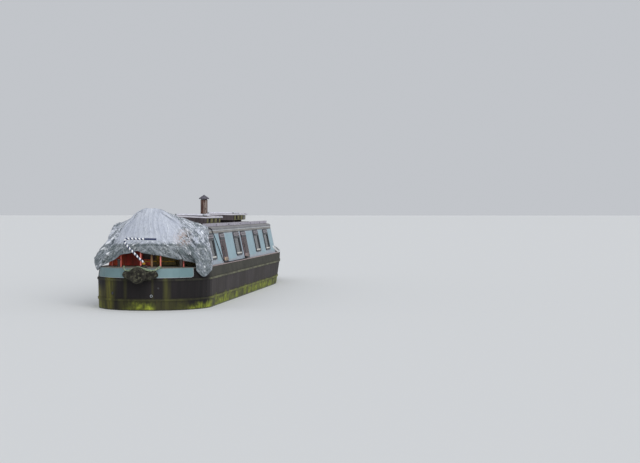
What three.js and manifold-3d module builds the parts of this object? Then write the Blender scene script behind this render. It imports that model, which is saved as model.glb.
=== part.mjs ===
// A forty-foot steel narrowboat with a rounded counter stern, a long panelled cabin,
// timber roof crates with solar panels, and a tarpaulin tent over the stern deck.
// Millimetres. +X is starboard, +Y is the bow, +Z is up.
// The origin is under the middle of the boat, on the bottom of the base plate.

import * as THREE from 'three';
import { mergeVertices } from 'three/addons/utils/BufferGeometryUtils.js';
import Module from 'manifold-3d';

const wasm = await Module();
wasm.setup();

// Driving dimensions of the hull

const GAP = 0.3;
const HULL_END = 6100;
const PLATE = 10;
const GUNWALE_TOP = 1230;
const GUNWALE_BASE = GUNWALE_TOP - PLATE;
const GUNWALE_HALF = 1000;
const GUNWALE_LIP = 3;
const COUNTER_START = -5000;
const COUNTER_BOTTOM = 480;
const STERN_POST = -5400;
const STEM_HALF = 14;
const SHEER_START = 3500;
const SHEER_POWER = 1.6;
const STRAKE_HEIGHT = 34;
const STRAKE_DEPTH = 14;

// Each level of the hull, from the bottom up. rise is what the bow adds to its height.
const HULL_LEVELS = [
  { z: PLATE + GAP, half: 1000, swim: -3700, stern: STERN_POST, bow: 2400, bowEnd: 5300, rise: 0 },
  { z: COUNTER_BOTTOM, half: 1012, swim: -3700, stern: STERN_POST, bow: 2600, bowEnd: 5700, rise: 0 },
  { z: COUNTER_BOTTOM, half: 1012, counter: -HULL_END + 20, bow: 2600, bowEnd: 5700, rise: 0 },
  { z: 680, half: 1018, counter: -HULL_END + 8, bow: 2800, bowEnd: 5840, rise: 60 },
  { z: 1025, half: 1026, counter: -HULL_END, bow: 3200, bowEnd: 6010, rise: 190 },
  { z: GUNWALE_BASE - GAP, half: 1000, counter: -HULL_END, bow: 3500, bowEnd: HULL_END, rise: 270 },
];
const LOWER_STRAKE = HULL_LEVELS[3];
const UPPER_STRAKE = HULL_LEVELS[4];
const TOP_LEVEL = HULL_LEVELS[5];
const STERN_POST_HALF = 30;
const STERN_STEPS = 12;
const BOW_STEPS = 10;
const PARALLEL_PLACES = [-3600, 0];
const BOW_FULLNESS = 2.2;

// Cabin

const CABIN_AFT = -4800;
const CABIN_FORE = 3500;
const WALL = 45;
const BULKHEAD = 40;
const SIDE_FOOT = 930;
const SIDE_TOP = 803;
const SIDE_TOP_Z = 1845;
const SIDE_LEAN = Math.atan2(SIDE_FOOT - SIDE_TOP, SIDE_TOP_Z - GUNWALE_TOP);
const EAVE = 760;
const ROOF_CROWN_Z = 1978;
const ROOF_DROP = 62;
const ROOF_THICKNESS = 43;
const ROOF_ARC_STEPS = 12;

// Openings along the starboard cabin side. Port has a window at each of these places.
const WINDOW = { low: 1340, high: 1775, door: false };
const DOOR = { low: 1237, high: 1795, door: true };
const STARBOARD_OPENINGS = [
  { name: '1', from: -4550, to: -3940, ...WINDOW },
  { name: '2', from: -3270, to: -2760, ...DOOR },
  { name: '3', from: -1750, to: -1140, ...WINDOW },
  { name: '4', from: -870, to: -260, ...DOOR },
  { name: '5', from: 740, to: 1340, ...WINDOW },
  { name: '6', from: 2140, to: 2730, ...WINDOW },
];
const PORT_OPENINGS = STARBOARD_OPENINGS.map((opening) => ({ ...opening, ...WINDOW }));
const OPENING_CORNER = 55;

// Colours taken from the object, with roughness and metalness
const FINISH = {
  hull: [0x3a3833, 0.75, 0.1],
  steelDeck: [0x8d8f8c, 0.7, 0.1],
  cabin: [0xa9bcc2, 0.5, 0.05],
  roof: [0xb4b6b0, 0.6, 0.05],
  rail: [0xc9c2cf, 0.5, 0.05],
  redPaint: [0x6d2a26, 0.5, 0.05],
  frame: [0xb9bcbd, 0.4, 0.3],
  timber: [0x8a7a66, 0.9, 0],
  solar: [0x1c2430, 0.2, 0.2],
  rust: [0x6f4a35, 0.85, 0.3],
  steel: [0x9a9a98, 0.45, 0.8],
  bronze: [0xa2763f, 0.4, 0.9],
  rope: [0x4c4638, 0.95, 0],
  blackRope: [0x17181a, 0.9, 0],
  tarp: [0xb4b7bd, 0.45, 0.1],
  tiller: [0x24304f, 0.35, 0.05],
  plywood: [0x9b7f5c, 0.8, 0],
};

const boat = new THREE.Group();

function add(name, geometry, finish) {
  const [color, roughness, metalness] = FINISH[finish];
  const material = new THREE.MeshStandardMaterial({ color, roughness, metalness });
  const mesh = new THREE.Mesh(geometry, material);
  mesh.name = name;
  boat.add(mesh);
  return mesh;
}

// Solids: weld, join and cut

function weld(geometry) {
  const bare = geometry.clone();
  bare.deleteAttribute('normal');
  bare.deleteAttribute('uv');
  const merged = mergeVertices(bare, 0.001);
  const kept = [];
  const index = merged.index.array;
  for (let i = 0; i < index.length; i += 3) {
    const [a, b, c] = [index[i], index[i + 1], index[i + 2]];
    if (a !== b && b !== c && c !== a) kept.push(a, b, c);
  }
  merged.setIndex(kept);
  return merged;
}

function toSolid(geometry) {
  const merged = weld(geometry);
  const vertProperties = new Float32Array(merged.attributes.position.array);
  const triVerts = new Uint32Array(merged.index.array);
  return new wasm.Manifold(new wasm.Mesh({ numProp: 3, vertProperties, triVerts }));
}

function toGeometry(solid) {
  const mesh = solid.getMesh();
  const geometry = new THREE.BufferGeometry();
  geometry.setAttribute('position', new THREE.BufferAttribute(mesh.vertProperties, 3));
  geometry.setIndex(new THREE.BufferAttribute(mesh.triVerts, 1));
  geometry.computeVertexNormals();
  return geometry;
}

function join(...geometries) {
  return toGeometry(geometries.map(toSolid).reduce((whole, piece) => whole.add(piece)));
}

function cut(geometry, ...tools) {
  return toGeometry(tools.map(toSolid).reduce((whole, tool) => whole.subtract(tool), toSolid(geometry)));
}

function mirrored(geometry) {
  const other = weld(geometry);
  other.scale(-1, 1, 1);
  const index = other.index.array;
  for (let i = 0; i < index.length; i += 3) [index[i + 1], index[i + 2]] = [index[i + 2], index[i + 1]];
  return other;
}

// Basic shapes

const ARC_STEPS = 2;

function block(x0, x1, y0, y1, z0, z1) {
  const box = new THREE.BoxGeometry(x1 - x0, y1 - y0, z1 - z0);
  return box.translate((x0 + x1) / 2, (y0 + y1) / 2, (z0 + z1) / 2);
}

function rod(radius, from, to, sides = 20) {
  const start = new THREE.Vector3(...from);
  const end = new THREE.Vector3(...to);
  const along = end.clone().sub(start);
  const bar = new THREE.CylinderGeometry(radius, radius, along.length(), sides);
  const turn = new THREE.Quaternion().setFromUnitVectors(new THREE.Vector3(0, 1, 0), along.normalize());
  return bar.applyQuaternion(turn).translate(...start.add(end).multiplyScalar(0.5).toArray());
}

function outlineShape(points) {
  return new THREE.Shape(points.map(([x, y]) => new THREE.Vector2(x, y)));
}

function extrude(shape, depth) {
  return new THREE.ExtrudeGeometry(shape, { depth, bevelEnabled: false, curveSegments: ARC_STEPS });
}

// A prism whose outline is x and y, standing from z0 to z1
function prismUp(points, z0, z1) {
  return extrude(outlineShape(points), z1 - z0).translate(0, 0, z0);
}

// A prism whose outline is x and z, running from y0 to y1
function prismAlong(points, y0, y1) {
  return extrude(outlineShape(points), y1 - y0).rotateX(Math.PI / 2).translate(0, y1, 0);
}

function tube(points, radius, sides, steps) {
  const places = points.map((point) => new THREE.Vector3(...point));
  const path = new THREE.CatmullRomCurve3(places, false, 'catmullrom', 0.5);
  const section = new THREE.Shape();
  for (let i = 0; i < sides; i += 1) {
    const angle = (i / sides) * Math.PI * 2;
    const corner = [radius * Math.cos(angle), radius * Math.sin(angle)];
    if (i === 0) section.moveTo(...corner);
    else section.lineTo(...corner);
  }
  return new THREE.ExtrudeGeometry(section, { steps, extrudePath: path, bevelEnabled: false });
}

function turned(profile, sides = 28) {
  return new THREE.LatheGeometry(profile.map(([r, h]) => new THREE.Vector2(r, h)), sides);
}

// Hull form

function sheer(y) {
  return y < SHEER_START ? 0 : ((y - SHEER_START) / (HULL_END - SHEER_START)) ** SHEER_POWER;
}

// Starboard side of one level, from the stern to the stem. The counter is half an ellipse, and
// the swim below it narrows to the stern post.
function levelSide(level) {
  const side = [];
  for (let i = 0; i <= STERN_STEPS; i += 1) {
    const share = Math.cos(((Math.PI / 2) * i) / STERN_STEPS);
    if (level.counter) {
      const half = i === 0 ? 0 : level.half * Math.sqrt(1 - share ** 2);
      side.push([half, COUNTER_START + (level.counter - COUNTER_START) * share]);
    } else {
      const taper = (1 - Math.cos(share * Math.PI)) / 2;
      const half = level.half + (STERN_POST_HALF - level.half) * taper;
      side.push([half, level.swim + (level.stern - level.swim) * share]);
    }
  }
  for (const y of PARALLEL_PLACES) side.push([level.half, y]);
  for (let i = 0; i <= BOW_STEPS; i += 1) {
    const share = Math.sin(((Math.PI / 2) * i) / BOW_STEPS);
    const half = STEM_HALF + (level.half - STEM_HALF) * (1 - share ** BOW_FULLNESS);
    side.push([half, level.bow + (level.bowEnd - level.bow) * share]);
  }
  return side;
}

function levelRing(level, z = (y) => level.z + level.rise * sheer(y)) {
  const side = levelSide(level);
  const starboard = side.map(([x, y]) => [x, y, z(y)]);
  const port = side.map(([x, y]) => [-x, y, z(y)]).reverse();
  return [...starboard, ...port];
}

// Skins rings of equal count, bottom ring first, and closes both ends across the centreline
function loft(rings) {
  const count = rings[0].length;
  const index = [];
  for (let level = 0; level < rings.length - 1; level += 1) {
    for (let i = 0; i < count; i += 1) {
      const next = (i + 1) % count;
      const [a, b] = [level * count + i, level * count + next];
      index.push(a, b, b + count, a, b + count, a + count);
    }
  }
  const top = (rings.length - 1) * count;
  for (let i = 0; i < count / 2 - 1; i += 1) {
    const [a, b, c, d] = [i, i + 1, count - 2 - i, count - 1 - i];
    index.push(a, c, b, a, d, c);
    index.push(top + a, top + b, top + c, top + a, top + c, top + d);
  }
  const geometry = new THREE.BufferGeometry();
  geometry.setAttribute('position', new THREE.Float32BufferAttribute(rings.flat(2), 3));
  geometry.setIndex(index);
  return weld(geometry);
}

// Half breadth and height of a level at a place along the boat
function levelAt(level, place) {
  const ring = levelSide(level).map(([x, y]) => [x, y, level.z + level.rise * sheer(y)]);
  for (let i = 0; i < ring.length - 1; i += 1) {
    const [[x0, y0, z0], [x1, y1, z1]] = [ring[i], ring[i + 1]];
    const share = (place - y0) / (y1 - y0 || 1);
    const found = { half: x0 + (x1 - x0) * share, height: z0 + (z1 - z0) * share };
    if (share >= 0 && share <= 1) return found;
  }
  return { half: 0, height: level.z };
}

// A rubbing strake is a bar that follows a level all round
function strake(level) {
  const low = { ...level, half: level.half + STRAKE_DEPTH, bowEnd: level.bowEnd + STRAKE_DEPTH };
  if (level.counter) low.counter = level.counter - STRAKE_DEPTH;
  const at = (offset) => levelRing(low, (y) => level.z + level.rise * sheer(y) + offset);
  return loft([at(-STRAKE_HEIGHT / 2), at(STRAKE_HEIGHT / 2)]);
}

// Hull, its hollows, and the plates that carry it

// Tools that cut reach well past the piece they cut
const FAR = 9000;
const PAST = 50;
const HIGH = 3000;

const CABIN_HOLLOW = { fore: 3400, half: 950, aft: -4720, low: 520 };
const BILGE = { fore: 2900, half: 900, aft: -3600, low: 60 };
const ENGINE_BAY = { fore: -3590, half: 260, aft: -4600, low: 100 };
const WELL = { aft: CABIN_FORE, fore: 4900, floor: 700, wall: 60, rows: 6 };
const LOCKER = { aft: 5040, fore: 5340, half: 180, low: 820 };
const FRONT_DOOR = { half: 325, low: 835, high: 1850, sill: 830, opening: 300, lintel: 10 };
const STOCK = { y: -5930, radius: 25, bore: 35 };
const SHAFT = { z: 255, radius: 15, bore: 24, deep: 200 };

function wellOutline(inset) {
  const outline = [];
  const long = WELL.fore - WELL.aft - 2 * inset;
  for (let i = 0; i <= WELL.rows; i += 1) {
    const y = WELL.aft + inset + (long * i) / WELL.rows;
    const half = Math.min(levelAt(LOWER_STRAKE, y).half, GUNWALE_HALF);
    outline.push([half - WELL.wall - inset, y]);
  }
  return [...outline, ...outline.map(([x, y]) => [-x, y]).reverse()];
}

// A box centred on the middle line of the boat
function midBlock(half, y0, y1, z0, z1) {
  return block(-half, half, y0, y1, z0, z1);
}

function makeHull() {
  const form = loft(HULL_LEVELS.map((level) => levelRing(level)));
  const whole = join(form, strake(LOWER_STRAKE), strake(UPPER_STRAKE));
  const under = CABIN_HOLLOW.low + PLATE;
  return cut(
    whole,
    midBlock(CABIN_HOLLOW.half, CABIN_HOLLOW.aft, CABIN_HOLLOW.fore, CABIN_HOLLOW.low, HIGH),
    midBlock(BILGE.half, BILGE.aft, BILGE.fore, BILGE.low, under),
    midBlock(ENGINE_BAY.half, ENGINE_BAY.aft, BILGE.aft + PLATE, ENGINE_BAY.low, under),
    prismUp(wellOutline(0), WELL.floor - GAP, HIGH),
    midBlock(FRONT_DOOR.opening, CABIN_HOLLOW.fore - PLATE, WELL.aft + PLATE, FRONT_DOOR.sill, HIGH),
    midBlock(LOCKER.half, LOCKER.aft, LOCKER.fore, LOCKER.low, HIGH),
    rod(STOCK.bore, [0, STOCK.y, COUNTER_BOTTOM - PAST], [0, STOCK.y, HIGH]),
    rod(SHAFT.bore, [0, STERN_POST - PAST, SHAFT.z], [0, STERN_POST + SHAFT.deep, SHAFT.z]),
  );
}

// The hull is welded up from three lengths, which meet at the two ends of the bilge
const HULL_LENGTHS = [
  { name: 'stern', aft: -FAR, fore: BILGE.aft },
  { name: 'middle', aft: BILGE.aft + GAP, fore: BILGE.fore - GAP },
  { name: 'bow', aft: BILGE.fore, fore: FAR },
];

function hullLength(hull, { aft, fore }) {
  const abaft = midBlock(FAR, aft - 2 * FAR, aft, -FAR, FAR);
  const ahead = midBlock(FAR, fore, fore + 2 * FAR, -FAR, FAR);
  return cut(hull, abaft, ahead);
}

const BASE_LIP = 20;

function makeBasePlate() {
  const bottom = HULL_LEVELS[0];
  const level = { ...bottom, half: bottom.half + BASE_LIP, bowEnd: bottom.bowEnd + BASE_LIP };
  return loft([levelRing(level, () => 0), levelRing(level, () => PLATE)]);
}

// The skeg carries the foot of the rudder stock in a cup
const SKEG = { half: 45, end: -6010, high: 40 };
const CUP = { radius: 42, bore: 30, high: 22, floor: 2 };

function makeSkeg() {
  const [low, high] = [SKEG.high - PLATE, SKEG.high + CUP.high];
  const bar = midBlock(SKEG.half, SKEG.end, STERN_POST - GAP, PLATE / 2, SKEG.high);
  const cup = rod(CUP.radius, [0, STOCK.y, low], [0, STOCK.y, high]);
  const bore = rod(CUP.bore, [0, STOCK.y, SKEG.high + CUP.floor], [0, STOCK.y, high + PAST]);
  return cut(join(bar, cup), bore);
}

const GUNWALE_UNDER_WALL = 5;

function makeGunwale() {
  const inner = SIDE_FOOT - WALL - GUNWALE_UNDER_WALL;
  const outer = GUNWALE_HALF + GUNWALE_LIP;
  return block(inner, outer, CABIN_AFT + GAP, CABIN_FORE - GAP, GUNWALE_BASE, GUNWALE_TOP);
}

const CLEAT = { x: 962, y: -930, radius: 8, long: 110, high: 48, legs: 22, foot: 6 };

// A horn on two legs that share a foot plate
function makeCleat() {
  const { x, y, radius, long, high, legs, foot } = CLEAT;
  const top = GUNWALE_TOP + high;
  const low = GUNWALE_TOP + GAP;
  const horn = rod(radius, [x, y - long / 2, top], [x, y + long / 2, top], 12);
  const plate = block(x - 2 * radius, x + 2 * radius, y - 2 * legs, y + 2 * legs, low, low + foot);
  const leg = (place) => rod(radius, [x, place, low + foot / 2], [x, place, top], 12);
  return join(horn, plate, leg(y - legs), leg(y + legs));
}

// Fittings that stand on a plate start inside it
const ROOTED = GUNWALE_TOP - PLATE / 2;
const COLLAR = { radius: 60, high: 45 };
const DOLLY = { x: 560, y: -5480, radius: 26, high: 130, headRadius: 38, head: 22 };

function makeDolly(side) {
  const { x, y, radius, high, headRadius, head } = DOLLY;
  const at = (z) => [side * x, y, GUNWALE_TOP + z];
  const post = rod(radius, [side * x, y, ROOTED], at(high));
  return join(post, rod(headRadius, at(high - head / 2), at(high + head / 2)));
}

function makeSternDeck() {
  const outline = levelSide(TOP_LEVEL).filter(([, y]) => y < CABIN_AFT - PAST);
  const starboard = [...outline, [GUNWALE_HALF, CABIN_AFT - GAP]];
  const port = starboard.map(([x, y]) => [-x, y]).reverse().filter(([x]) => x < 0);
  const plate = prismUp([...starboard, ...port], GUNWALE_BASE, GUNWALE_TOP);
  const collar = rod(COLLAR.radius, [0, STOCK.y, ROOTED], [0, STOCK.y, GUNWALE_TOP + COLLAR.high]);
  const bore = rod(STOCK.bore, [0, STOCK.y, 0], [0, STOCK.y, HIGH]);
  return cut(join(plate, collar, makeDolly(1), makeDolly(-1)), bore);
}

const FORE_DECK_AFT = 4905;
const T_STUD = { y: 5560, radius: 24, high: 150, bar: 95, barRadius: 16, barBelow: 35 };

function makeForeDeck() {
  const outline = levelSide(TOP_LEVEL).filter(([, y]) => y > FORE_DECK_AFT);
  const side = [[levelAt(TOP_LEVEL, FORE_DECK_AFT).half, FORE_DECK_AFT], ...outline];
  const height = (y) => levelAt(TOP_LEVEL, y).height + GAP;
  const ring = (rise) => {
    const starboard = side.map(([x, y]) => [x, y, height(y) + rise]);
    return [...starboard, ...side.map(([x, y]) => [-x, y, height(y) + rise]).reverse()];
  };
  const plate = loft([ring(0), ring(PLATE)]);
  const hatchway = midBlock(LOCKER.half, LOCKER.aft, LOCKER.fore, 0, HIGH);
  const foot = height(T_STUD.y) + PLATE / 2;
  const barZ = foot + T_STUD.high - T_STUD.barBelow;
  const stud = rod(T_STUD.radius, [0, T_STUD.y, foot], [0, T_STUD.y, foot + T_STUD.high]);
  const bar = rod(T_STUD.barRadius, [-T_STUD.bar, T_STUD.y, barZ], [T_STUD.bar, T_STUD.y, barZ]);
  return join(cut(plate, hatchway), stud, bar);
}

const hull = makeHull();
for (const length of HULL_LENGTHS) add(`hull_${length.name}`, hullLength(hull, length), 'hull');
add('base_plate', makeBasePlate(), 'hull');
add('skeg', makeSkeg(), 'hull');
add('gunwale_starboard', makeGunwale(), 'steelDeck');
add('gunwale_port', mirrored(makeGunwale()), 'steelDeck');
add('cleat', makeCleat(), 'steelDeck');
add('stern_deck', makeSternDeck(), 'steelDeck');
add('fore_deck', makeForeDeck(), 'steelDeck');
add('well_deck', prismUp(wellOutline(GAP), WELL.floor, WELL.floor + PLATE), 'steelDeck');

// Inside the hull

const FLOOR = { clear: 5, thick: 20, top: 150 };
const ENGINE = { half: 210, aft: -4500, fore: -3800, low: 120, high: 640 };
const STEPS = { half: 320, tread: 30, aft: -4690, riser: -4380, fore: -3760, high: 1000, low: 700 };

function makeFloor() {
  const { clear, thick, top } = FLOOR;
  return midBlock(BILGE.half - clear, BILGE.aft + clear, BILGE.fore - clear, top - thick, top);
}

// Two treads and two risers in one folded board. The outline is y and z.
function makeCompanionSteps() {
  const { half, tread, aft, riser, fore, high, low } = STEPS;
  const foot = CABIN_HOLLOW.low + GAP;
  const upper = [[aft, high], [riser, high], [riser, low], [fore, low], [fore, foot]];
  const lower = [[fore, foot], [fore, low], [riser, low], [riser, high]].map(([y, z], i) => {
    return [y - tread, i === 0 ? z : z - tread];
  });
  const outline = outlineShape([...upper, ...lower, [aft, high - tread]]);
  const sideways = new THREE.Matrix4().makeBasis(
    new THREE.Vector3(0, 1, 0),
    new THREE.Vector3(0, 0, 1),
    new THREE.Vector3(1, 0, 0),
  );
  return extrude(outline, 2 * half).applyMatrix4(sideways).translate(-half, 0, 0);
}

add('cabin_floor', makeFloor(), 'plywood');
add('engine', midBlock(ENGINE.half, ENGINE.aft, ENGINE.fore, ENGINE.low, ENGINE.high), 'steel');
add('companion_steps', makeCompanionSteps(), 'plywood');

// Cabin sides, with their windows and doors

// A side is drawn flat: across is along the boat and up is up the slope. Depth is outwards
// from the outer face, so the wall itself runs from minus WALL to zero.
function onCabinSide(shape, fromDepth, toDepth) {
  const upSlope = new THREE.Vector3(-Math.sin(SIDE_LEAN), 0, Math.cos(SIDE_LEAN));
  const outwards = new THREE.Vector3(Math.cos(SIDE_LEAN), 0, Math.sin(SIDE_LEAN));
  const turn = new THREE.Matrix4().makeBasis(new THREE.Vector3(0, 1, 0), upSlope, outwards);
  const panel = extrude(shape, toDepth - fromDepth).translate(0, 0, fromDepth);
  return panel.applyMatrix4(turn).translate(SIDE_FOOT, 0, GUNWALE_TOP);
}

function slopeHeight(z) {
  return (z - GUNWALE_TOP) / Math.cos(SIDE_LEAN);
}

function roundedRectangle(from, to, low, high, corner) {
  const shape = new THREE.Shape();
  const turns = [
    [to - corner, low + corner, -Math.PI / 2],
    [to - corner, high - corner, 0],
    [from + corner, high - corner, Math.PI / 2],
    [from + corner, low + corner, Math.PI],
  ];
  for (const [cx, cy, start] of turns) shape.absarc(cx, cy, corner, start, start + Math.PI / 2, false);
  return shape;
}

function openingShape({ from, to, low, high }, grow) {
  const corner = Math.max(OPENING_CORNER + grow, 5);
  return roundedRectangle(from - grow, to + grow, slopeHeight(low) - grow, slopeHeight(high) + grow, corner);
}

function makeCabinSide(openings) {
  const [low, high] = [-PAST, slopeHeight(SIDE_TOP_Z) + PAST];
  const [aft, fore] = [CABIN_AFT + BULKHEAD + GAP, CABIN_FORE - BULKHEAD - GAP];
  const shape = outlineShape([[aft, low], [fore, low], [fore, high], [aft, high]]);
  for (const opening of openings) shape.holes.push(openingShape(opening, 0));
  return cut(
    onCabinSide(shape, -WALL, 0),
    midBlock(FAR, -FAR, FAR, 0, GUNWALE_TOP + GAP),
    midBlock(FAR, -FAR, FAR, SIDE_TOP_Z - GAP, HIGH),
  );
}

// A window is a pane inside its opening and a rim that laps over the wall
const PANE = { clearance: 2, inside: -16, outside: 6, lap: 24, rim: 12 };

function makeWindow(opening) {
  const pane = onCabinSide(openingShape(opening, -PANE.clearance), PANE.inside, PANE.outside);
  const rim = onCabinSide(openingShape(opening, PANE.lap), GAP, PANE.rim);
  return join(pane, rim);
}

const SIDE_DOOR = { clearance: 6, inside: -30, outside: 8 };

function makeSideDoor(opening) {
  const shape = openingShape(opening, -SIDE_DOOR.clearance);
  return onCabinSide(shape, SIDE_DOOR.inside, SIDE_DOOR.outside);
}

add('cabin_side_starboard', makeCabinSide(STARBOARD_OPENINGS), 'cabin');
add('cabin_side_port', mirrored(makeCabinSide(PORT_OPENINGS)), 'cabin');
for (const opening of STARBOARD_OPENINGS) {
  if (opening.door) add(`side_door_${opening.name}`, makeSideDoor(opening), 'redPaint');
  else add(`window_starboard_${opening.name}`, makeWindow(opening), 'frame');
}
for (const opening of PORT_OPENINGS) {
  add(`window_port_${opening.name}`, mirrored(makeWindow(opening)), 'frame');
}

// Roof and bulkheads

function roofTop(x) {
  return ROOF_CROWN_Z - ROOF_DROP * (x / EAVE) ** 2;
}

function arcPoints(half, height) {
  const points = [];
  for (let i = 0; i <= ROOF_ARC_STEPS; i += 1) {
    const x = half - (2 * half * i) / ROOF_ARC_STEPS;
    points.push([x, height(x)]);
  }
  return points;
}

const HATCH = { half: 345, aft: -4830, fore: -4100, low: 1996, high: 2020, wall: 12, clear: 8 };
const HATCHWAY = { half: 296, fore: -4130, low: 1500 };
// The rounded edge of the roof, from its foot on the cabin side upwards
const EAVE_CURVE = [[SIDE_TOP, SIDE_TOP_Z + GAP], [808, 1868], [803, 1893], [786, 1909]];
const UNDER_ROOF = 752;

function makeRoof() {
  const foot = SIDE_TOP_Z + GAP;
  const portEave = EAVE_CURVE.map(([x, z]) => [-x, z]).reverse();
  const outer = [...EAVE_CURVE, ...arcPoints(EAVE, roofTop), ...portEave];
  const under = arcPoints(UNDER_ROOF, (x) => roofTop(x) - ROOF_THICKNESS).reverse();
  const section = [...outer, [-UNDER_ROOF, foot], ...under, [UNDER_ROOF, foot]];
  const roof = prismAlong(section, CABIN_AFT, CABIN_FORE);
  return cut(roof, midBlock(HATCHWAY.half, CABIN_AFT - PAST, HATCHWAY.fore, HATCHWAY.low, HIGH));
}

function bulkheadOutline() {
  const inner = UNDER_ROOF - 1;
  const foot = GUNWALE_TOP + GAP;
  const under = arcPoints(inner, (x) => roofTop(x) - ROOF_THICKNESS - GAP);
  const starboard = [[SIDE_FOOT, foot], [SIDE_TOP, SIDE_TOP_Z - GAP], [inner, SIDE_TOP_Z - GAP]];
  return [...starboard, ...under, ...starboard.map(([x, z]) => [-x, z]).reverse()];
}

const LEAF = { thick: 30, gap: 6, meet: 3 };
const REAR_DOOR = { half: 325, low: 1245, high: 1965, sill: 1240, opening: 300 };

function makeRearBulkhead() {
  const plate = prismAlong(bulkheadOutline(), CABIN_AFT, CABIN_AFT + BULKHEAD);
  return cut(plate, midBlock(REAR_DOOR.opening, -FAR, CABIN_AFT + FAR, REAR_DOOR.sill, HIGH));
}

function makeFrontBulkhead() {
  const plate = prismAlong(bulkheadOutline(), CABIN_FORE - BULKHEAD, CABIN_FORE);
  const { opening, high, lintel } = FRONT_DOOR;
  return cut(plate, midBlock(opening, 0, FAR, 0, high - lintel));
}

// Each leaf covers its half of a doorway, outside the bulkhead
function makeLeaf({ half, low, high }, face, outwards) {
  const near = face + outwards * LEAF.gap;
  const far = near + outwards * LEAF.thick;
  return block(LEAF.meet, half, Math.min(near, far), Math.max(near, far), low, high);
}

add('cabin_roof', makeRoof(), 'roof');
add('rear_bulkhead', makeRearBulkhead(), 'redPaint');
add('front_bulkhead', makeFrontBulkhead(), 'cabin');
add('rear_door_starboard', makeLeaf(REAR_DOOR, CABIN_AFT, -1), 'redPaint');
add('rear_door_port', mirrored(makeLeaf(REAR_DOOR, CABIN_AFT, -1)), 'redPaint');
add('front_door_starboard', makeLeaf(FRONT_DOOR, CABIN_FORE, 1), 'redPaint');
add('front_door_port', mirrored(makeLeaf(FRONT_DOOR, CABIN_FORE, 1)), 'redPaint');

// On the roof

const RUNNER = { x: 318, half: 8, fore: -3560, high: HATCH.low - 6, stop: 30 };

function makeHatchRunners() {
  const { x, half, fore, high, stop } = RUNNER;
  const foot = roofTop(x - half) + GAP;
  const rail = block(x - half, x + half, CABIN_AFT, fore, foot, high);
  const cross = midBlock(x, fore - stop, fore, ROOF_CROWN_Z + 1, high);
  return join(rail, mirrored(rail), cross);
}

// A shallow box open below and at both ends, whose sides run outside the runners
function makeHatch() {
  const { half, aft, fore, low, high, wall, clear } = HATCH;
  const inside = half - wall;
  const foot = roofTop(inside) + clear;
  const outer = [[half, foot], [half, high - clear], [half - wall, high]];
  const inner = [[inside, low], [inside, foot]];
  const port = (points) => points.map(([x, z]) => [-x, z]).reverse();
  return prismAlong([...outer, ...port(outer), ...port(inner), ...inner], aft, fore);
}

const HANDRAIL = { x: 722, half: 16, high: 62, aft: -4280, fore: 3360 };
// Places along the boat where a hand goes through the rail
const HANDRAIL_SLOTS = [-3040, -1730, -360, 980, 2310];
const SLOT = { half: 75, low: 14, high: 38 };

function makeHandrail() {
  const { x, half, high, aft, fore } = HANDRAIL;
  const foot = roofTop(x - half) + GAP;
  const bar = block(x - half, x + half, aft, fore, foot, foot + high);
  const slots = HANDRAIL_SLOTS.map((y) => {
    return block(x - PAST, x + PAST, y - SLOT.half, y + SLOT.half, foot + SLOT.low, foot + SLOT.high);
  });
  return cut(bar, ...slots);
}

// Roof crates. Each lean is in degrees, outwards and down, as the roof's camber has it. middle
// and top are where the middle of the lid is, and panel and panelTop the same of the panel on it.
const CRATES = [
  { name: 'aft', aft: -3530, middle: 336, top: 2122, lean: 2.6, panel: 307, panelTop: 2166, panelLean: 0.8 },
  { name: 'fore', aft: -260, middle: 290, top: 2160, lean: 0.8, panel: 300, panelTop: 2194, panelLean: 0.3 },
];
// The box of a crate is shorter than its lid
const CRATE = { half: 291, long: 1300, deep: 108, board: 18, lid: 24, overhang: 14, lidLong: 1660 };
// Openings between the boards of a crate's long sides, and the bearers that it stands on
const AIR_SLOT = { count: 3, first: 365, pitch: 415, wide: 165, low: 22, high: 12 };
const BEARER = { half: 270, wide: 25, fromEnd: 220, into: 5, down: 200 };

// Everything below the roof's own surface, for cutting what stands on the roof
function belowRoof(y0, y1) {
  const surface = arcPoints(EAVE, (x) => roofTop(x) + GAP);
  return prismAlong([...surface, [-EAVE, 0], [EAVE, 0]], y0, y1);
}

// Moves a piece that is drawn about the middle of its own top to its place on the roof
function onRoof(geometry, middle, top, lean) {
  return geometry.rotateY(THREE.MathUtils.degToRad(lean)).translate(middle, 0, top);
}

function makeCrate({ aft, middle, top, lean }) {
  const { half, long, deep, board, lid, overhang, lidLong } = CRATE;
  const [low, high, fore] = [-lid - deep, -lid, aft + long];
  const box = midBlock(half, aft, fore, low, high + board / 2);
  const inside = midBlock(half - board, aft + board, fore - board, low + board, high);
  const slots = Array.from({ length: AIR_SLOT.count }, (_, i) => {
    const y = aft + AIR_SLOT.first + i * AIR_SLOT.pitch;
    const reach = AIR_SLOT.wide / 2;
    return midBlock(half + PAST, y - reach, y + reach, low + AIR_SLOT.low, high - AIR_SLOT.high);
  });
  const cover = midBlock(half + overhang, aft - GAP, aft + lidLong, high, 0);
  const bearers = [aft + BEARER.fromEnd, fore - BEARER.fromEnd].map((y) => {
    const { wide, down, into } = BEARER;
    return midBlock(BEARER.half, y - wide, y + wide, low - down, low + into);
  });
  const crate = onRoof(join(cut(box, inside, ...slots), cover, ...bearers), middle, top, lean);
  return cut(crate, belowRoof(aft - PAST, fore + PAST));
}

const PANEL = { half: 280, long: 600, thick: 28, frame: 24, glassDrop: 5, inset: 10 };
const PANEL_FOOT = { half: 240, fromEnd: 110, wide: 20, into: 8 };

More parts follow.
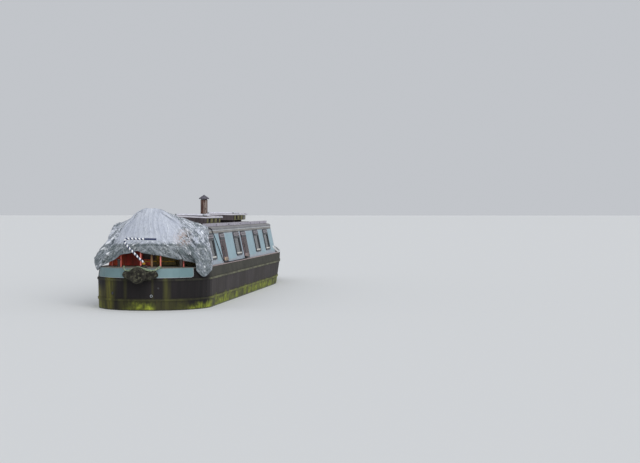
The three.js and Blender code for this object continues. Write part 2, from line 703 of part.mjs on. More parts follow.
// A framed solar panel, recessed over its glass, on two feet that rest on the crate's lid
function makeSolarPanel({ aft, middle, top, lean, panel, panelTop, panelLean }) {
  const { half, thick, frame, glassDrop } = PANEL;
  const [y0, y1] = [aft + PANEL.inset, aft + PANEL.inset + PANEL.long];
  const slab = midBlock(half, y0, y1, -thick, 0);
  const glass = midBlock(half - frame, y0 + frame, y1 - frame, -glassDrop, PAST);
  const feet = [y0 + PANEL_FOOT.fromEnd, y1 - PANEL_FOOT.fromEnd].map((y) => {
    const { wide, into } = PANEL_FOOT;
    return midBlock(PANEL_FOOT.half, y - wide, y + wide, -thick - PAST, into - thick);
  });
  const whole = onRoof(join(cut(slab, glass), ...feet), panel, panelTop, panelLean);
  const below = midBlock(CRATE.half + PAST, y0 - PAST, y1 + PAST, -HIGH, GAP);
  return cut(whole, onRoof(below, middle, top, lean));
}

const CHIMNEY = { x: -460, y: 1750, radius: 79, wall: 6, top: 2470, below: 20 };
// The flange that holds the chimney to the roof, measured from below the roof's surface
const FLANGE = { radius: 110, low: 45, high: 62, mouth: 50 };
const CAP = { radius: 116, low: 2492, brim: 18, top: 2590, wall: 5 };
const CAP_LEG = { count: 3, radius: 4, inset: 14, down: 60 };

function makeChimney() {
  const { x, y, radius, wall, top, below } = CHIMNEY;
  const foot = roofTop(x) - below;
  const bore = radius - wall;
  const pipe = turned([
    [bore, foot + FLANGE.mouth],
    [FLANGE.radius, foot],
    [FLANGE.radius, foot + FLANGE.low],
    [radius, foot + FLANGE.high],
    [radius, top],
    [bore, top],
    [bore, foot + FLANGE.mouth],
  ]);
  return cut(pipe.rotateX(Math.PI / 2).translate(x, y, 0), belowRoof(0, HIGH));
}

// A conical cap with a short brim, on three legs that stand inside the pipe
function makeChimneyCap() {
  const { x, y } = CHIMNEY;
  const { radius, low, brim, top, wall } = CAP;
  const edge = low + brim;
  const inner = radius - wall;
  const under = [[0, top - wall], [inner, edge - wall], [inner, low]];
  const cone = turned([...under, [radius, low], [radius, edge], [0, top]]);
  const pieces = [cone.rotateX(Math.PI / 2).translate(x, y, 0)];
  const reach = CHIMNEY.radius - CAP_LEG.inset;
  const underCone = top - ((top - edge) * reach) / radius - wall / 2;
  for (let i = 0; i < CAP_LEG.count; i += 1) {
    const angle = (i * Math.PI * 2) / CAP_LEG.count;
    const place = [x + reach * Math.cos(angle), y + reach * Math.sin(angle)];
    pieces.push(rod(CAP_LEG.radius, [...place, CHIMNEY.top - CAP_LEG.down], [...place, underCone], 8));
  }
  return join(...pieces);
}

add('hatch_runners', makeHatchRunners(), 'roof');
add('sliding_hatch', makeHatch(), 'roof');
add('handrail_starboard', makeHandrail(), 'rail');
add('handrail_port', mirrored(makeHandrail()), 'rail');
for (const crate of CRATES) {
  add(`roof_crate_${crate.name}`, makeCrate(crate), 'timber');
  add(`solar_panel_${crate.name}`, makeSolarPanel(crate), 'solar');
}
add('chimney', makeChimney(), 'rust');
add('chimney_cap', makeChimneyCap(), 'frame');

// Bow

// The lid lies on the sheer of the deck and hinges at its forward edge
const LOCKER_LID = { hinge: [0, 5390, 1416], half: 205, long: 390, thick: 22, slope: 48 / 380 };
const LID_RIM = { half: 170, aft: -350, fore: -40, down: 14, into: 5 };

function makeLockerLid() {
  const { hinge, half, long, thick, slope } = LOCKER_LID;
  const lid = midBlock(half, -long, 0, 0, thick);
  const rim = midBlock(LID_RIM.half, LID_RIM.aft, LID_RIM.fore, -LID_RIM.down, LID_RIM.into);
  return join(lid, rim).rotateX(Math.atan(slope)).translate(...hinge);
}

// Radius and distance ahead of the stem
const BOW_FENDER = [[0, 0], [95, 0], [125, 60], [118, 150], [80, 270], [30, 345], [0, 345]];
const BOW_FENDER_Z = 1270;
const FENDER_CLEAR = 15;

function makeBowFender() {
  return turned(BOW_FENDER).translate(0, HULL_END + FENDER_CLEAR, BOW_FENDER_Z);
}

add('locker_lid', makeLockerLid(), 'steelDeck');
add('bow_fender', makeBowFender(), 'rope');

// Stern gear

const FENDER_Z = 1126;
const TIPCAT = { half: 300, radius: 95, y: -HULL_END - 114 };
// Radius as a share of the tipcat's, and distance in from its end
const TIPCAT_END = [[0, 0], [0.6, 12], [0.92, 50], [1, 110]];
const BUTTON = { x: 0, radius: 160, thick: 144, clear: 6 };
// Radius and thickness as shares of the button's
const BUTTON_PROFILE = [[0, 0], [0.8, 0], [1, 0.35], [0.93, 0.7], [0.5, 1], [0, 1]];

function makeTipcat() {
  const { half, radius, y } = TIPCAT;
  const end = TIPCAT_END.map(([share, inwards]) => [radius * share, inwards - half]);
  const other = end.map(([r, along]) => [r, -along]).reverse();
  return turned([...end, ...other]).rotateZ(Math.PI / 2).translate(0, y, FENDER_Z);
}

function makeButton() {
  const { x, radius, thick, clear } = BUTTON;
  const back = TIPCAT.y - TIPCAT.radius - clear;
  const profile = BUTTON_PROFILE.map(([across, deep]) => [radius * across, thick * deep]);
  return turned(profile).rotateZ(Math.PI).translate(x, back, FENDER_Z);
}

// The guard rail round the stern deck is two halves with a gap for the tiller, on an ellipse
const TAFF = { across: 800, along: 430, z: 1606, radius: 16, from: 135, to: 798, steps: 8 };
const TAFF_POSTS = [180, 570, 780];
const TAFF_POST_RADIUS = 13;

function taffPoint(x, z) {
  return [x, COUNTER_START - TAFF.along * Math.sqrt(1 - (x / TAFF.across) ** 2), z];
}

function makeTaffRail() {
  const start = Math.asin(TAFF.from / TAFF.across);
  const end = Math.asin(TAFF.to / TAFF.across);
  const route = [];
  for (let i = 0; i <= TAFF.steps; i += 1) {
    const angle = start + ((end - start) * i) / TAFF.steps;
    route.push(taffPoint(TAFF.across * Math.sin(angle), TAFF.z));
  }
  const posts = TAFF_POSTS.map((x) => {
    return rod(TAFF_POST_RADIUS, taffPoint(x, GUNWALE_TOP + GAP), taffPoint(x, TAFF.z), 12);
  });
  return join(tube(route, TAFF.radius, 10, 14), ...posts);
}

add('stern_tipcat_fender', makeTipcat(), 'rope');
add('stern_button_fender', makeButton(), 'rope');
add('taff_rail_starboard', makeTaffRail(), 'redPaint');
add('taff_rail_port', mirrored(makeTaffRail()), 'redPaint');

// Rudder and tiller turn together about the stock, and rest hard over

const RUDDER = { aft: -330, fore: 110, low: 72, high: 440, half: 8 };
const STOCK_TOP = GUNWALE_TOP + 60;
const STOCK_FOOT = SKEG.high + 8;
const REST_TURN = -80;

const steering = new THREE.Group();
steering.position.set(0, STOCK.y, 0);
steering.rotation.z = THREE.MathUtils.degToRad(REST_TURN);
boat.add(steering);

function makeRudder() {
  const blade = midBlock(RUDDER.half, RUDDER.aft, RUDDER.fore, RUDDER.low, RUDDER.high);
  const stock = rod(STOCK.radius, [0, 0, STOCK_FOOT], [0, 0, STOCK_TOP]);
  return join(blade, stock);
}

// Y and z of the bar: up and back from the stock, over in a hook, then forward as the tiller
const SWAN_NECK = [
  [0, 1295], [-6, 1330], [-75, 1395], [-165, 1490], [-262, 1592], [-322, 1668], [-322, 1716],
  [-270, 1742], [-120, 1738], [40, 1735], [220, 1731],
];
const NECK_RADIUS = 19;
const SOCKET = { radius: 30, high: 30 };

function makeSwanNeck() {
  const base = STOCK_TOP + GAP;
  const bar = tube(SWAN_NECK.map(([y, z]) => [0, y, z]), NECK_RADIUS, 10, 32);
  return join(bar, rod(SOCKET.radius, [0, 0, base], [0, 0, base + SOCKET.high], 14));
}

steering.add(add('rudder', makeRudder(), 'hull'));
steering.add(add('swan_neck', makeSwanNeck(), 'tiller'));

// Propeller, on its shaft

const PROPELLER = { y: -5580, radius: 205, root: 10, wide: 82, blades: 3, pitch: 28, thick: 12 };
const SHAFT_END = STERN_POST + 150;
// Radius and distance along the shaft
const BOSS = [[0, -80], [22, -76], [42, -40], [42, 50], [30, 60], [0, 60]];

function makePropeller() {
  const { y, radius, root, wide, blades, pitch, thick } = PROPELLER;
  const pieces = [turned(BOSS), rod(SHAFT.radius, [0, 0, 0], [0, SHAFT_END - y, 0])];
  for (let i = 0; i < blades; i += 1) {
    const shape = new THREE.Shape();
    shape.absellipse(0, (radius + root) / 2, wide, (radius - root) / 2, 0, Math.PI * 2, false, 0);
    const blade = extrude(shape, thick).translate(0, 0, -thick / 2);
    blade.rotateY(THREE.MathUtils.degToRad(90 - pitch)).rotateX(Math.PI / 2);
    pieces.push(blade.rotateY((i * Math.PI * 2) / blades));
  }
  return join(...pieces).translate(0, y, SHAFT.z);
}

add('propeller', makePropeller(), 'bronze');

// Tarpaulin tent and the frame under it

const TENT = { ridgeAft: [0, -5360, 2258], ridgeFore: [0, -4400, 2196], sheet: 8 };

// One row for each rib of the tent, from the forward starboard corner round the stern to the
// forward port corner. back is how far the rib's top is towards the after end of the ridge.
// Then come the crown, where the sheet leaves the ridge, the shoulder, where it turns over the
// rail or the roof edge, the edge, where it passes the side of the deck, and the hem.
const TENT_RIBS = [
  { back: 0, keys: [[200, -4390, 2128], [700, -4375, 1972], [765, -4372, 1955], [822, -4368, 1925]] },
  { back: 0.1, keys: [[230, -4495, 2125], [790, -4490, 1957], [838, -4480, 1893], [860, -4470, 1820]] },
  { back: 0.2, keys: [[300, -4615, 2110], [800, -4605, 1952], [858, -4582, 1825], [872, -4570, 1690]] },
  { back: 0.42, keys: [[420, -4855, 2100], [806, -4860, 1957], [884, -4840, 1775], [990, -4800, 1430]] },
  { back: 0.65, keys: [[260, -5080, 2180], [760, -5030, 1835], [950, -5060, 1540], [1052, -5090, 1240]] },
  { back: 0.9, keys: [[230, -5330, 2215], [640, -5225, 1900], [1030, -5270, 1530], [1050, -5300, 1150]] },
  { back: 1, keys: [[200, -5350, 2200], [705, -5255, 1642], [880, -5400, 1400], [978, -5500, 1070]] },
  { back: 1, keys: [[170, -5360, 2195], [610, -5318, 1643], [840, -5530, 1380], [872, -5600, 1168]] },
  { back: 1, keys: [[150, -5365, 2192], [540, -5346, 1643], [770, -5480, 1420], [862, -5592, 1238]] },
  { back: 1, keys: [[125, -5370, 2190], [470, -5372, 1644], [660, -5415, 1470], [795, -5440, 1309]] },
  { back: 1, keys: [[90, -5376, 2190], [330, -5412, 1645], [440, -5412, 1500], [522, -5402, 1359]] },
  { back: 1, keys: [[50, -5380, 2190], [190, -5443, 1646], [210, -5455, 1540], [213, -5462, 1429]] },
  { back: 1, keys: [[15, -5382, 2190], [40, -5456, 1646], [60, -5465, 1550], [75, -5470, 1450]] },
  { back: 1, keys: [[-25, -5382, 2190], [-110, -5454, 1646], [-120, -5463, 1560], [-131, -5468, 1482]] },
  { back: 1, keys: [[-65, -5380, 2190], [-240, -5440, 1645], [-240, -5453, 1580], [-240, -5460, 1516]] },
  { back: 1, keys: [[-105, -5376, 2190], [-370, -5405, 1644], [-375, -5425, 1560], [-381, -5438, 1474]] },
  { back: 1, keys: [[-140, -5370, 2190], [-490, -5364, 1644], [-512, -5395, 1550], [-535, -5420, 1450]] },
  { back: 1, keys: [[-175, -5362, 2192], [-590, -5325, 1643], [-625, -5375, 1520], [-650, -5425, 1365]] },
  { back: 1, keys: [[-200, -5350, 2196], [-655, -5290, 1643], [-735, -5380, 1480], [-805, -5440, 1288]] },
  { back: 1, keys: [[-208, -5345, 2198], [-690, -5270, 1643], [-825, -5420, 1440], [-886, -5530, 1237]] },
  { back: 1, keys: [[-220, -5340, 2200], [-715, -5248, 1642], [-870, -5400, 1430], [-945, -5490, 1175]] },
  { back: 0.9, keys: [[-250, -5330, 2208], [-600, -5225, 1890], [-1000, -5270, 1480], [-1054, -5300, 1310]] },
  { back: 0.65, keys: [[-260, -5080, 2180], [-760, -5030, 1835], [-950, -5060, 1540], [-1045, -5090, 1270]] },
  { back: 0.42, keys: [[-420, -4855, 2100], [-806, -4860, 1957], [-884, -4840, 1775], [-990, -4800, 1430]] },
  { back: 0.2, keys: [[-300, -4615, 2110], [-800, -4605, 1952], [-858, -4582, 1825], [-872, -4570, 1690]] },
  { back: 0.1, keys: [[-230, -4495, 2125], [-790, -4490, 1957], [-838, -4480, 1893], [-860, -4470, 1820]] },
  { back: 0, keys: [[-200, -4390, 2128], [-700, -4375, 1972], [-765, -4372, 1955], [-822, -4368, 1925]] },
];
const STEPS_PER_KEY = 3;

// The points down one rib, from the ridge to the hem
function ribPoints(rib) {
  const [fore, aft] = [TENT.ridgeFore, TENT.ridgeAft];
  const top = fore.map((value, axis) => value + (aft[axis] - value) * rib.back);
  const keys = [top, ...rib.keys];
  const points = [top];
  for (let row = 1; row < keys.length; row += 1) {
    for (let step = 1; step <= STEPS_PER_KEY; step += 1) {
      const share = step / STEPS_PER_KEY;
      points.push(keys[row].map((value, axis) => keys[row - 1][axis] * (1 - share) + value * share));
    }
  }
  return points;
}

// Gives an open sheet a thickness towards its inner side and closes its edges
function thicken(sheet, thickness) {
  const surface = weld(sheet);
  surface.computeVertexNormals();
  const outer = surface.attributes.position;
  const normal = surface.attributes.normal;
  const count = outer.count;
  const points = [...outer.array];
  for (let i = 0; i < count; i += 1) {
    points.push(outer.getX(i) - thickness * normal.getX(i));
    points.push(outer.getY(i) - thickness * normal.getY(i));
    points.push(outer.getZ(i) - thickness * normal.getZ(i));
  }
  const faces = [...surface.index.array];
  const edges = new Map();
  for (let i = 0; i < faces.length; i += 3) {
    for (let k = 0; k < 3; k += 1) {
      const [a, b] = [faces[i + k], faces[i + ((k + 1) % 3)]];
      edges.set(`${a},${b}`, [a, b]);
    }
  }
  const index = [...faces];
  for (let i = 0; i < faces.length; i += 3) {
    index.push(faces[i] + count, faces[i + 2] + count, faces[i + 1] + count);
  }
  for (const [a, b] of edges.values()) {
    if (!edges.has(`${b},${a}`)) index.push(b, a, a + count, b, a + count, b + count);
  }
  const solid = new THREE.BufferGeometry();
  solid.setAttribute('position', new THREE.Float32BufferAttribute(points, 3));
  solid.setIndex(index);
  return solid;
}

function makeTarpaulin() {
  const ribs = TENT_RIBS.map(ribPoints);
  const rows = ribs[0].length;
  const index = [];
  for (let rib = 0; rib < ribs.length - 1; rib += 1) {
    for (let step = 0; step < rows - 1; step += 1) {
      const [a, b] = [rib * rows + step, (rib + 1) * rows + step];
      index.push(a, a + 1, b + 1, a, b + 1, b);
    }
  }
  const sheet = new THREE.BufferGeometry();
  sheet.setAttribute('position', new THREE.Float32BufferAttribute(ribs.flat(2), 3));
  sheet.setIndex(index);
  return thicken(sheet, TENT.sheet);
}

// A post, a ridge pole, a cross board that spreads the sheet at the top, and a hoop on the roof
const FRAME = { below: 36, inset: 30, postRadius: 20, ridgeRadius: 18, hoopRadius: 11 };
const CROSS_BOARD = { half: 180, aft: -5340, fore: -5310, low: 2160, high: 2200 };
const HOOP = { foot: 430, bend: 400, bendZ: 2025 };

function makeTarpFrame() {
  const { below, inset, postRadius, ridgeRadius, hoopRadius } = FRAME;
  const [aft, fore] = [TENT.ridgeAft, TENT.ridgeFore];
  const poleAft = [0, aft[1] + inset, aft[2] - below];
  const poleFore = [0, fore[1] - inset, fore[2] - below];
  const post = rod(postRadius, [0, poleAft[1], GUNWALE_TOP + GAP], poleAft, 12);
  const ridge = rod(ridgeRadius, poleAft, poleFore, 12);
  const { half, low, high } = CROSS_BOARD;
  const board = midBlock(half, CROSS_BOARD.aft, CROSS_BOARD.fore, low, high);
  const hoop = [1, -1].flatMap((side) => {
    const foot = [side * HOOP.foot, poleFore[1], roofTop(HOOP.foot)];
    const bend = [side * HOOP.bend, poleFore[1], HOOP.bendZ];
    return [rod(hoopRadius, foot, bend, 10), rod(hoopRadius, bend, poleFore, 10)];
  });
  return cut(join(post, ridge, board, ...hoop), belowRoof(poleFore[1] - PAST, poleFore[1] + PAST));
}

add('tarpaulin', makeTarpaulin(), 'tarp');
add('tarp_frame', makeTarpFrame(), 'timber');

// Tie rope, from the tarpaulin's corner over the roof edge to the cleat

const ROPE_RADIUS = 7;
const ROPE_SIDES = 8;
const ROPE_STEPS = 80;
const ROPE_ROUTE = [
  [816, -4359, 1921], [812, -4290, 1912], [814, -4180, 1904], [816, -4060, 1893], [819, -3960, 1866],
  [822, -3880, 1820], [840, -3790, 1735], [857, -3700, 1652], [881, -3610, 1540], [905, -3520, 1425],
  [932, -3430, 1300], [950, -3360, 1252], [962, -3270, 1239], [972, -3100, 1238], [966, -2800, 1238],
  [974, -2450, 1238], [968, -2100, 1238], [975, -1750, 1238], [970, -1450, 1238], [966, -1200, 1238],
  [963, -1060, 1242], [962, -1000, 1256],
];

add('tie_rope', tube(ROPE_ROUTE, ROPE_RADIUS, ROPE_SIDES, ROPE_STEPS), 'blackRope');

export default boat;
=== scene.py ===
# %% [markdown]
# # A narrowboat, made in cells
# The boat is a forty-foot canal boat with a rounded stern. Its bodies, joints and sizes come
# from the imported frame, in metres: +X is starboard, +Y is the bow, +Z is up. This script adds
# what the solids leave out: finishes, cloth, ropes, windows and trim. Its first cell opens the
# frame and keeps its box, because the visible boat must stay inside it.

# %% Open the frame
import math
import bmesh
import bpy
from mathutils import Matrix, Vector, noise
from mathutils.bvhtree import BVHTree


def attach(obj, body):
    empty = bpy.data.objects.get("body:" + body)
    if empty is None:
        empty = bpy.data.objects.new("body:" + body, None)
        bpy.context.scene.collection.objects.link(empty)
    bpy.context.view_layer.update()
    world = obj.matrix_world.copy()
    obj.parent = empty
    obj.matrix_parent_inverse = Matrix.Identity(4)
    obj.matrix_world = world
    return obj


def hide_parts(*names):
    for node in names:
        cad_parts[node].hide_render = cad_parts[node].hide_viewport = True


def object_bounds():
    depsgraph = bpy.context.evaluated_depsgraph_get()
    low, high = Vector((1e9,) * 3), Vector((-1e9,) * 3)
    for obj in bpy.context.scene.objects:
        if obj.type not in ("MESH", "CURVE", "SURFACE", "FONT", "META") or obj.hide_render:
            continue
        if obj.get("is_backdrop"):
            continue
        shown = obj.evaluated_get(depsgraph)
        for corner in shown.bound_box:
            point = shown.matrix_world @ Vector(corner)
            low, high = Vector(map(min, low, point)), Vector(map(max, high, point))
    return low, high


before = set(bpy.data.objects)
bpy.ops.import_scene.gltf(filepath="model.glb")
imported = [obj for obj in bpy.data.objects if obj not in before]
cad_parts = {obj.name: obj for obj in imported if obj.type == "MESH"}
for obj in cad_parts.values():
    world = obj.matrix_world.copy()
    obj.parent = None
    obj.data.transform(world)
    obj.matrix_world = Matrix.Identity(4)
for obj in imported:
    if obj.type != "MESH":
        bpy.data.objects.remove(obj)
cad_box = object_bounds()
print("nodes", len(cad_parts), "box", [round(v, 3) for corner in cad_box for v in corner])

# %% [markdown]
# The camera stands off the starboard quarter, 24 m behind the stern and 1.7 m above the floor.
# A long lens flattens the boat, as in the photo. The tilt is under one degree, so the boat's
# upright edges stay upright.

# %% Camera
camera = bpy.data.objects.new("quarter_camera", bpy.data.cameras.new("quarter_camera"))
bpy.context.scene.collection.objects.link(camera)
camera.location = (5.79, -29.72, 2.24)
look = Vector((-0.1132, 0.9936, -math.tan(math.radians(0.88))))
camera.rotation_euler = look.to_track_quat("-Z", "Y").to_euler()
camera.data.lens = 78.75
camera.data.clip_end = 900
bpy.context.scene.camera = camera
print("camera at", tuple(camera.location), "lens", camera.data.lens)

# %% [markdown]
# Every finish is a node material, and nodes are wordy, so a few small helpers keep the cells
# short. `wire` adds one node and fills or links its inputs by name. `shade` starts a material
# with its Principled shader. `ink` reads a colour as a painter's hex code.

# %% Helpers for finishes
def ink(code):
    """A hex colour as the linear numbers that shaders use."""
    parts = [int(code[i:i + 2], 16) / 255 for i in (1, 3, 5)]
    return (*[c / 12.92 if c <= 0.04045 else ((c + 0.055) / 1.055) ** 2.4 for c in parts], 1)


def wire(tree, kind, inputs=(), **settings):
    """Adds a node. inputs are (name or number, value or socket) pairs."""
    node = tree.nodes.new(kind)
    for key, value in settings.items():
        setattr(node, key, value)
    for key, value in inputs:
        if isinstance(value, bpy.types.NodeSocket):
            tree.links.new(value, node.inputs[key])
        else:
            node.inputs[key].default_value = value
    return node


def shade(name, **plain):
    """A material with one Principled shader. plain are its constant inputs."""
    material = bpy.data.materials.new(name)
    material.use_nodes = True
    shader = material.node_tree.nodes["Principled BSDF"]
    for key, value in plain.items():
        shader.inputs[key.replace("_", " ")].default_value = value
    return material, material.node_tree, shader


def blend_ink(tree, mask, low, high):
    """Goes from low to high where the mask does. Both may be hex codes or sockets."""
    low, high = [ink(c) if isinstance(c, str) else c for c in (low, high)]
    return wire(tree, "ShaderNodeMix", [(0, mask), (6, low), (7, high)], data_type="RGBA").outputs[2]


def sums(tree, operation, a, b=0.5, clamp=False):
    """One step of arithmetic."""
    return wire(tree, "ShaderNodeMath", [(0, a), (1, b)], operation=operation, use_clamp=clamp).outputs[0]


def times(tree, a, b):
    return sums(tree, "MULTIPLY", a, b)


def off_from(tree, value, centre):
    """How far a value is from centre, either way."""
    return sums(tree, "ABSOLUTE", sums(tree, "SUBTRACT", value, centre), 0.0)


def spread(tree, value, low, high, to_low=0.0, to_high=1.0):
    """Stretches low..high to another span and clips what lies outside."""
    pairs = [("Value", value), ("From Min", low), ("From Max", high), ("To Min", to_low), ("To Max", to_high)]
    return wire(tree, "ShaderNodeMapRange", pairs).outputs[0]


print("helpers ready")

# %% [markdown]
# Weather marks every surface in the same few ways: cloudy tone, streaks that run down, a
# ragged tide line and dust on what faces up. Each is a node group with its own inputs, made
# once and placed in each finish with other numbers. All of them read the piece's own
# coordinates, so a door carries its marks along when it opens.

# %% Groups for weather
def group(name, inputs, outputs):
    """A new shader group. Returns its tree, its inputs and its output node."""
    tree = bpy.data.node_groups.new(name, "ShaderNodeTree")
    for label, value in inputs:
        tree.interface.new_socket(label, in_out="INPUT", socket_type="NodeSocketFloat").default_value = value
    for label in outputs:
        tree.interface.new_socket(label, in_out="OUTPUT", socket_type="NodeSocketFloat")
    return tree, tree.nodes.new("NodeGroupInput").outputs, tree.nodes.new("NodeGroupOutput")


def place_of(tree):
    return tree.nodes.new("ShaderNodeTexCoord").outputs["Object"]


def axes_of(tree):
    """The piece's own x, y and z."""
    return wire(tree, "ShaderNodeSeparateXYZ", [(0, place_of(tree))]).outputs


def noisy(tree, at, scale, detail=3.0, rough=0.55):
    pairs = [("Vector", at), ("Scale", scale), ("Detail", detail), ("Roughness", rough)]
    return wire(tree, "ShaderNodeTexNoise", pairs).outputs[0]


def stretched(tree, at, scales):
    return wire(tree, "ShaderNodeVectorMath", [(0, at), (1, scales)], operation="MULTIPLY").outputs[0]


clouds, take, give = group("Clouds", [("Scale", 2.0), ("Low", 0.35), ("High", 0.65)], ["Mask"])
cloud = noisy(clouds, place_of(clouds), take["Scale"], 4.0)
clouds.links.new(spread(clouds, cloud, take["Low"], take["High"]), give.inputs[0])

runs, take, give = group("Runs", [("Scale", 9.0), ("Low", 0.45), ("High", 0.75)], ["Mask"])
tall = stretched(runs, place_of(runs), (1, 1, 0.09))
run = noisy(runs, tall, take["Scale"], 4.0, 0.6)
runs.links.new(spread(runs, run, take["Low"], take["High"]), give.inputs[0])

tide, take, give = group("Tide", [("Height", 0.6), ("Softness", 0.05), ("Ragged", 0.1)], ["Mask"])
at = place_of(tide)
height = axes_of(tide)[2]
wave = sums(tide, "SUBTRACT", noisy(tide, stretched(tide, at, (1, 1, 0.3)), 7.0, 5.0, 0.7), 0.5)
edge = sums(tide, "ADD", take["Height"], times(tide, wave, take["Ragged"]))
soft = sums(tide, "DIVIDE", sums(tide, "SUBTRACT", edge, height), take["Softness"])
tide.links.new(spread(tide, soft, -1.0, 1.0), give.inputs[0])

dust, take, give = group("Dust", [("Amount", 0.5), ("Scale", 5.0)], ["Mask"])
facing = wire(dust, "ShaderNodeNewGeometry").outputs["Normal"]
up = wire(dust, "ShaderNodeSeparateXYZ", [(0, facing)]).outputs[2]
lying = spread(dust, up, 0.5, 1.0)
patch = spread(dust, noisy(dust, place_of(dust), take["Scale"], 5.0, 0.65), 0.35, 0.7, 0.3, 1.0)
dust.links.new(times(dust, times(dust, lying, patch), take["Amount"]), give.inputs[0])


def weather(tree, which, **values):
    """Places one of the groups in a finish."""
    node = wire(tree, "ShaderNodeGroup", node_tree=bpy.data.node_groups[which])
    for key, value in values.items():
        node.inputs[key].default_value = value
    return node.outputs[0]


print("groups", [g.name for g in bpy.data.node_groups])

# %% [markdown]
# Woven and twisted things need a weave, sawn boards need grain. Weave is two sets of fine
# ridges that cross. Grain is noise drawn out along one way of the board. Both put out a height
# for a Bump node, and grain also a mask for colour.

# %% Groups for cloth and timber
weave, take, give = group("Weave", [("Scale", 400.0)], ["Height"])
threads = []
for axis in range(3):
    threads.append(sums(weave, "SINE", times(weave, axes_of(weave)[axis], take["Scale"])))
crossed = times(weave, sums(weave, "ADD", threads[0], threads[1]), threads[2])
weave.links.new(crossed, give.inputs[0])

grain, take, give = group("Grain", [("Scale", 30.0), ("Along", 0.04)], ["Height", "Tone"])
drawn = wire(grain, "ShaderNodeCombineXYZ", [(0, 1.0), (1, take["Along"]), (2, 1.0)]).outputs[0]
board = stretched(grain, place_of(grain), drawn)
grain.links.new(noisy(grain, board, take["Scale"], 6.0, 0.7), give.inputs[0])
coarse = noisy(grain, board, times(grain, take["Scale"], 0.25), 3.0)
grain.links.new(spread(grain, coarse, 0.35, 0.65), give.inputs[1])


def bump(tree, shader, height, strength, distance, below=None):
    """Feeds a height into the shader's normal. below is a coarser normal under it."""
    pairs = [("Strength", strength), ("Distance", distance), ("Height", height)]
    if below:
        pairs.append(("Normal", below))
    normal = wire(tree, "ShaderNodeBump", pairs).outputs[0]
    tree.links.new(normal, shader.inputs["Normal"])
    return normal


print("groups", [g.name for g in bpy.data.node_groups])

# %% [markdown]
# The tie rope comes first, because its place and length are settled before any looks. It is a
# black braided line that leaves the tarpaulin's corner, lies over the roof edge, falls down
# the cabin side and runs along the gunwale to a cleat. A rope could be a bevelled curve. A mesh
# tube with three turning strands looks twisted from close by, so one helper makes such tubes.

# %% Helper for routes and ropes
def spline(keys, t):
    """A point on the smooth curve through four keys, between the middle two."""
    a, b, c, d = keys
    return (2 * b + (c - a) * t + (2 * a - 5 * b + 4 * c - d) * t * t + (3 * b - a - 3 * c + d) * t ** 3) / 2


def smooth_route(keys, per_span=10, before=None):
    """Points on one smooth curve through all the keys. before is the key that it would come from."""
    keys = [Vector(k) for k in keys]
    ends = [before or keys[0] * 2 - keys[1], *keys, keys[-1] * 2 - keys[-2]]
    route = [spline(ends[span:span + 4], step / per_span) for span in range(len(keys) - 1)
             for step in range(per_span)]
    return [*route, keys[-1]]


def evenly(route, gap):
    """The same route with a point about every gap metres."""
    lengths = [(b - a).length for a, b in zip(route, route[1:])]
    count = max(2, round(sum(lengths) / gap))
    spaced, at, left = [route[0].copy()], 0, sum(lengths) / count
    want = left
    for index, length in enumerate(lengths):
        while length > 0 and at + length >= want - 1e-9 and len(spaced) < count:
            spaced.append(route[index].lerp(route[index + 1], (want - at) / length))
            want += left
        at += length
    return [*spaced, route[-1].copy()]


def build(name, points, faces, finish, body="root", slot=None, sharp=None):
    """A mesh piece that rides on a body. The faces of a closed one are turned to look outwards."""
    mesh = bpy.data.meshes.new(name)
    mesh.from_pydata([tuple(p) for p in points], [], faces)
    shape = bmesh.new()
    shape.from_mesh(mesh)
    if all(len(edge.link_faces) == 2 for edge in shape.edges):
        bmesh.ops.recalc_face_normals(shape, faces=shape.faces)
        shape.to_mesh(mesh)
    shape.free()
    mesh.update()
    mesh.polygons.foreach_set("use_smooth", [True] * len(mesh.polygons))
    if sharp:
        mesh.set_sharp_from_angle(angle=math.radians(sharp))
    mesh.materials.append(finish)
    piece = bpy.data.objects.new(name, mesh)
    bpy.context.scene.collection.objects.link(piece)
    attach(piece, body)
    return piece


def route_length(route):
    return sum((b - a).length for a, b in zip(route, route[1:]))


def turn_round(count, at):
    """A closed ring of points. at gives each from its angle."""
    return [at(step / count * math.tau) for step in range(count)]


def tube(route, radius, sides=10, strands=0, lay=0.09, depth=0.16, closed=False, twist=0.0):
    """Points and faces of a tube. Strands swell its wall and turn once in each lay. twist turns the rings."""
    points, faces, normal, along = [], [], None, 0.0
    count = len(route)
    for index, here in enumerate(route):
        ahead = route[(index + 1) % count] if closed or index + 1 < count else here
        behind = route[index - 1] if closed or index else here
        tangent = (ahead - behind).normalized()
        if normal is None:
            normal = tangent.orthogonal().normalized()
        normal = (normal - tangent * normal.dot(tangent)).normalized()
        across = tangent.cross(normal)
        reach = radius(index / (count - 1)) if callable(radius) else radius
        for side in range(sides):
            angle = side * math.tau / sides + (along * math.tau / twist if twist else 0)
            wave = strands * angle - along * math.tau * strands / lay
            swell = 1 + (depth * math.cos(wave) if strands else 0)
            points.append(here + (normal * math.cos(angle) + across * math.sin(angle)) * reach * swell)
        if index + 1 < count:
            along += (route[index + 1] - here).length
    rings = count if closed else count - 1
    for ring in range(rings):
        for side in range(sides):
            a, b = ring * sides + side, ring * sides + (side + 1) % sides
            faces.append((a, b, (b + sides) % (count * sides), (a + sides) % (count * sides)))
    if not closed:
        faces.append(tuple(reversed(range(sides))))
        faces.append(tuple(range((count - 1) * sides, count * sides)))
    return points, faces


def joined(*meshes):
    """Several meshes as one list of points and one of faces."""
    points, faces = [], []
    for more_points, more_faces in meshes:
        start = len(points)
        points += more_points
        faces += [tuple(i + start for i in face) for face in more_faces]
    return points, faces


print("route helpers ready")

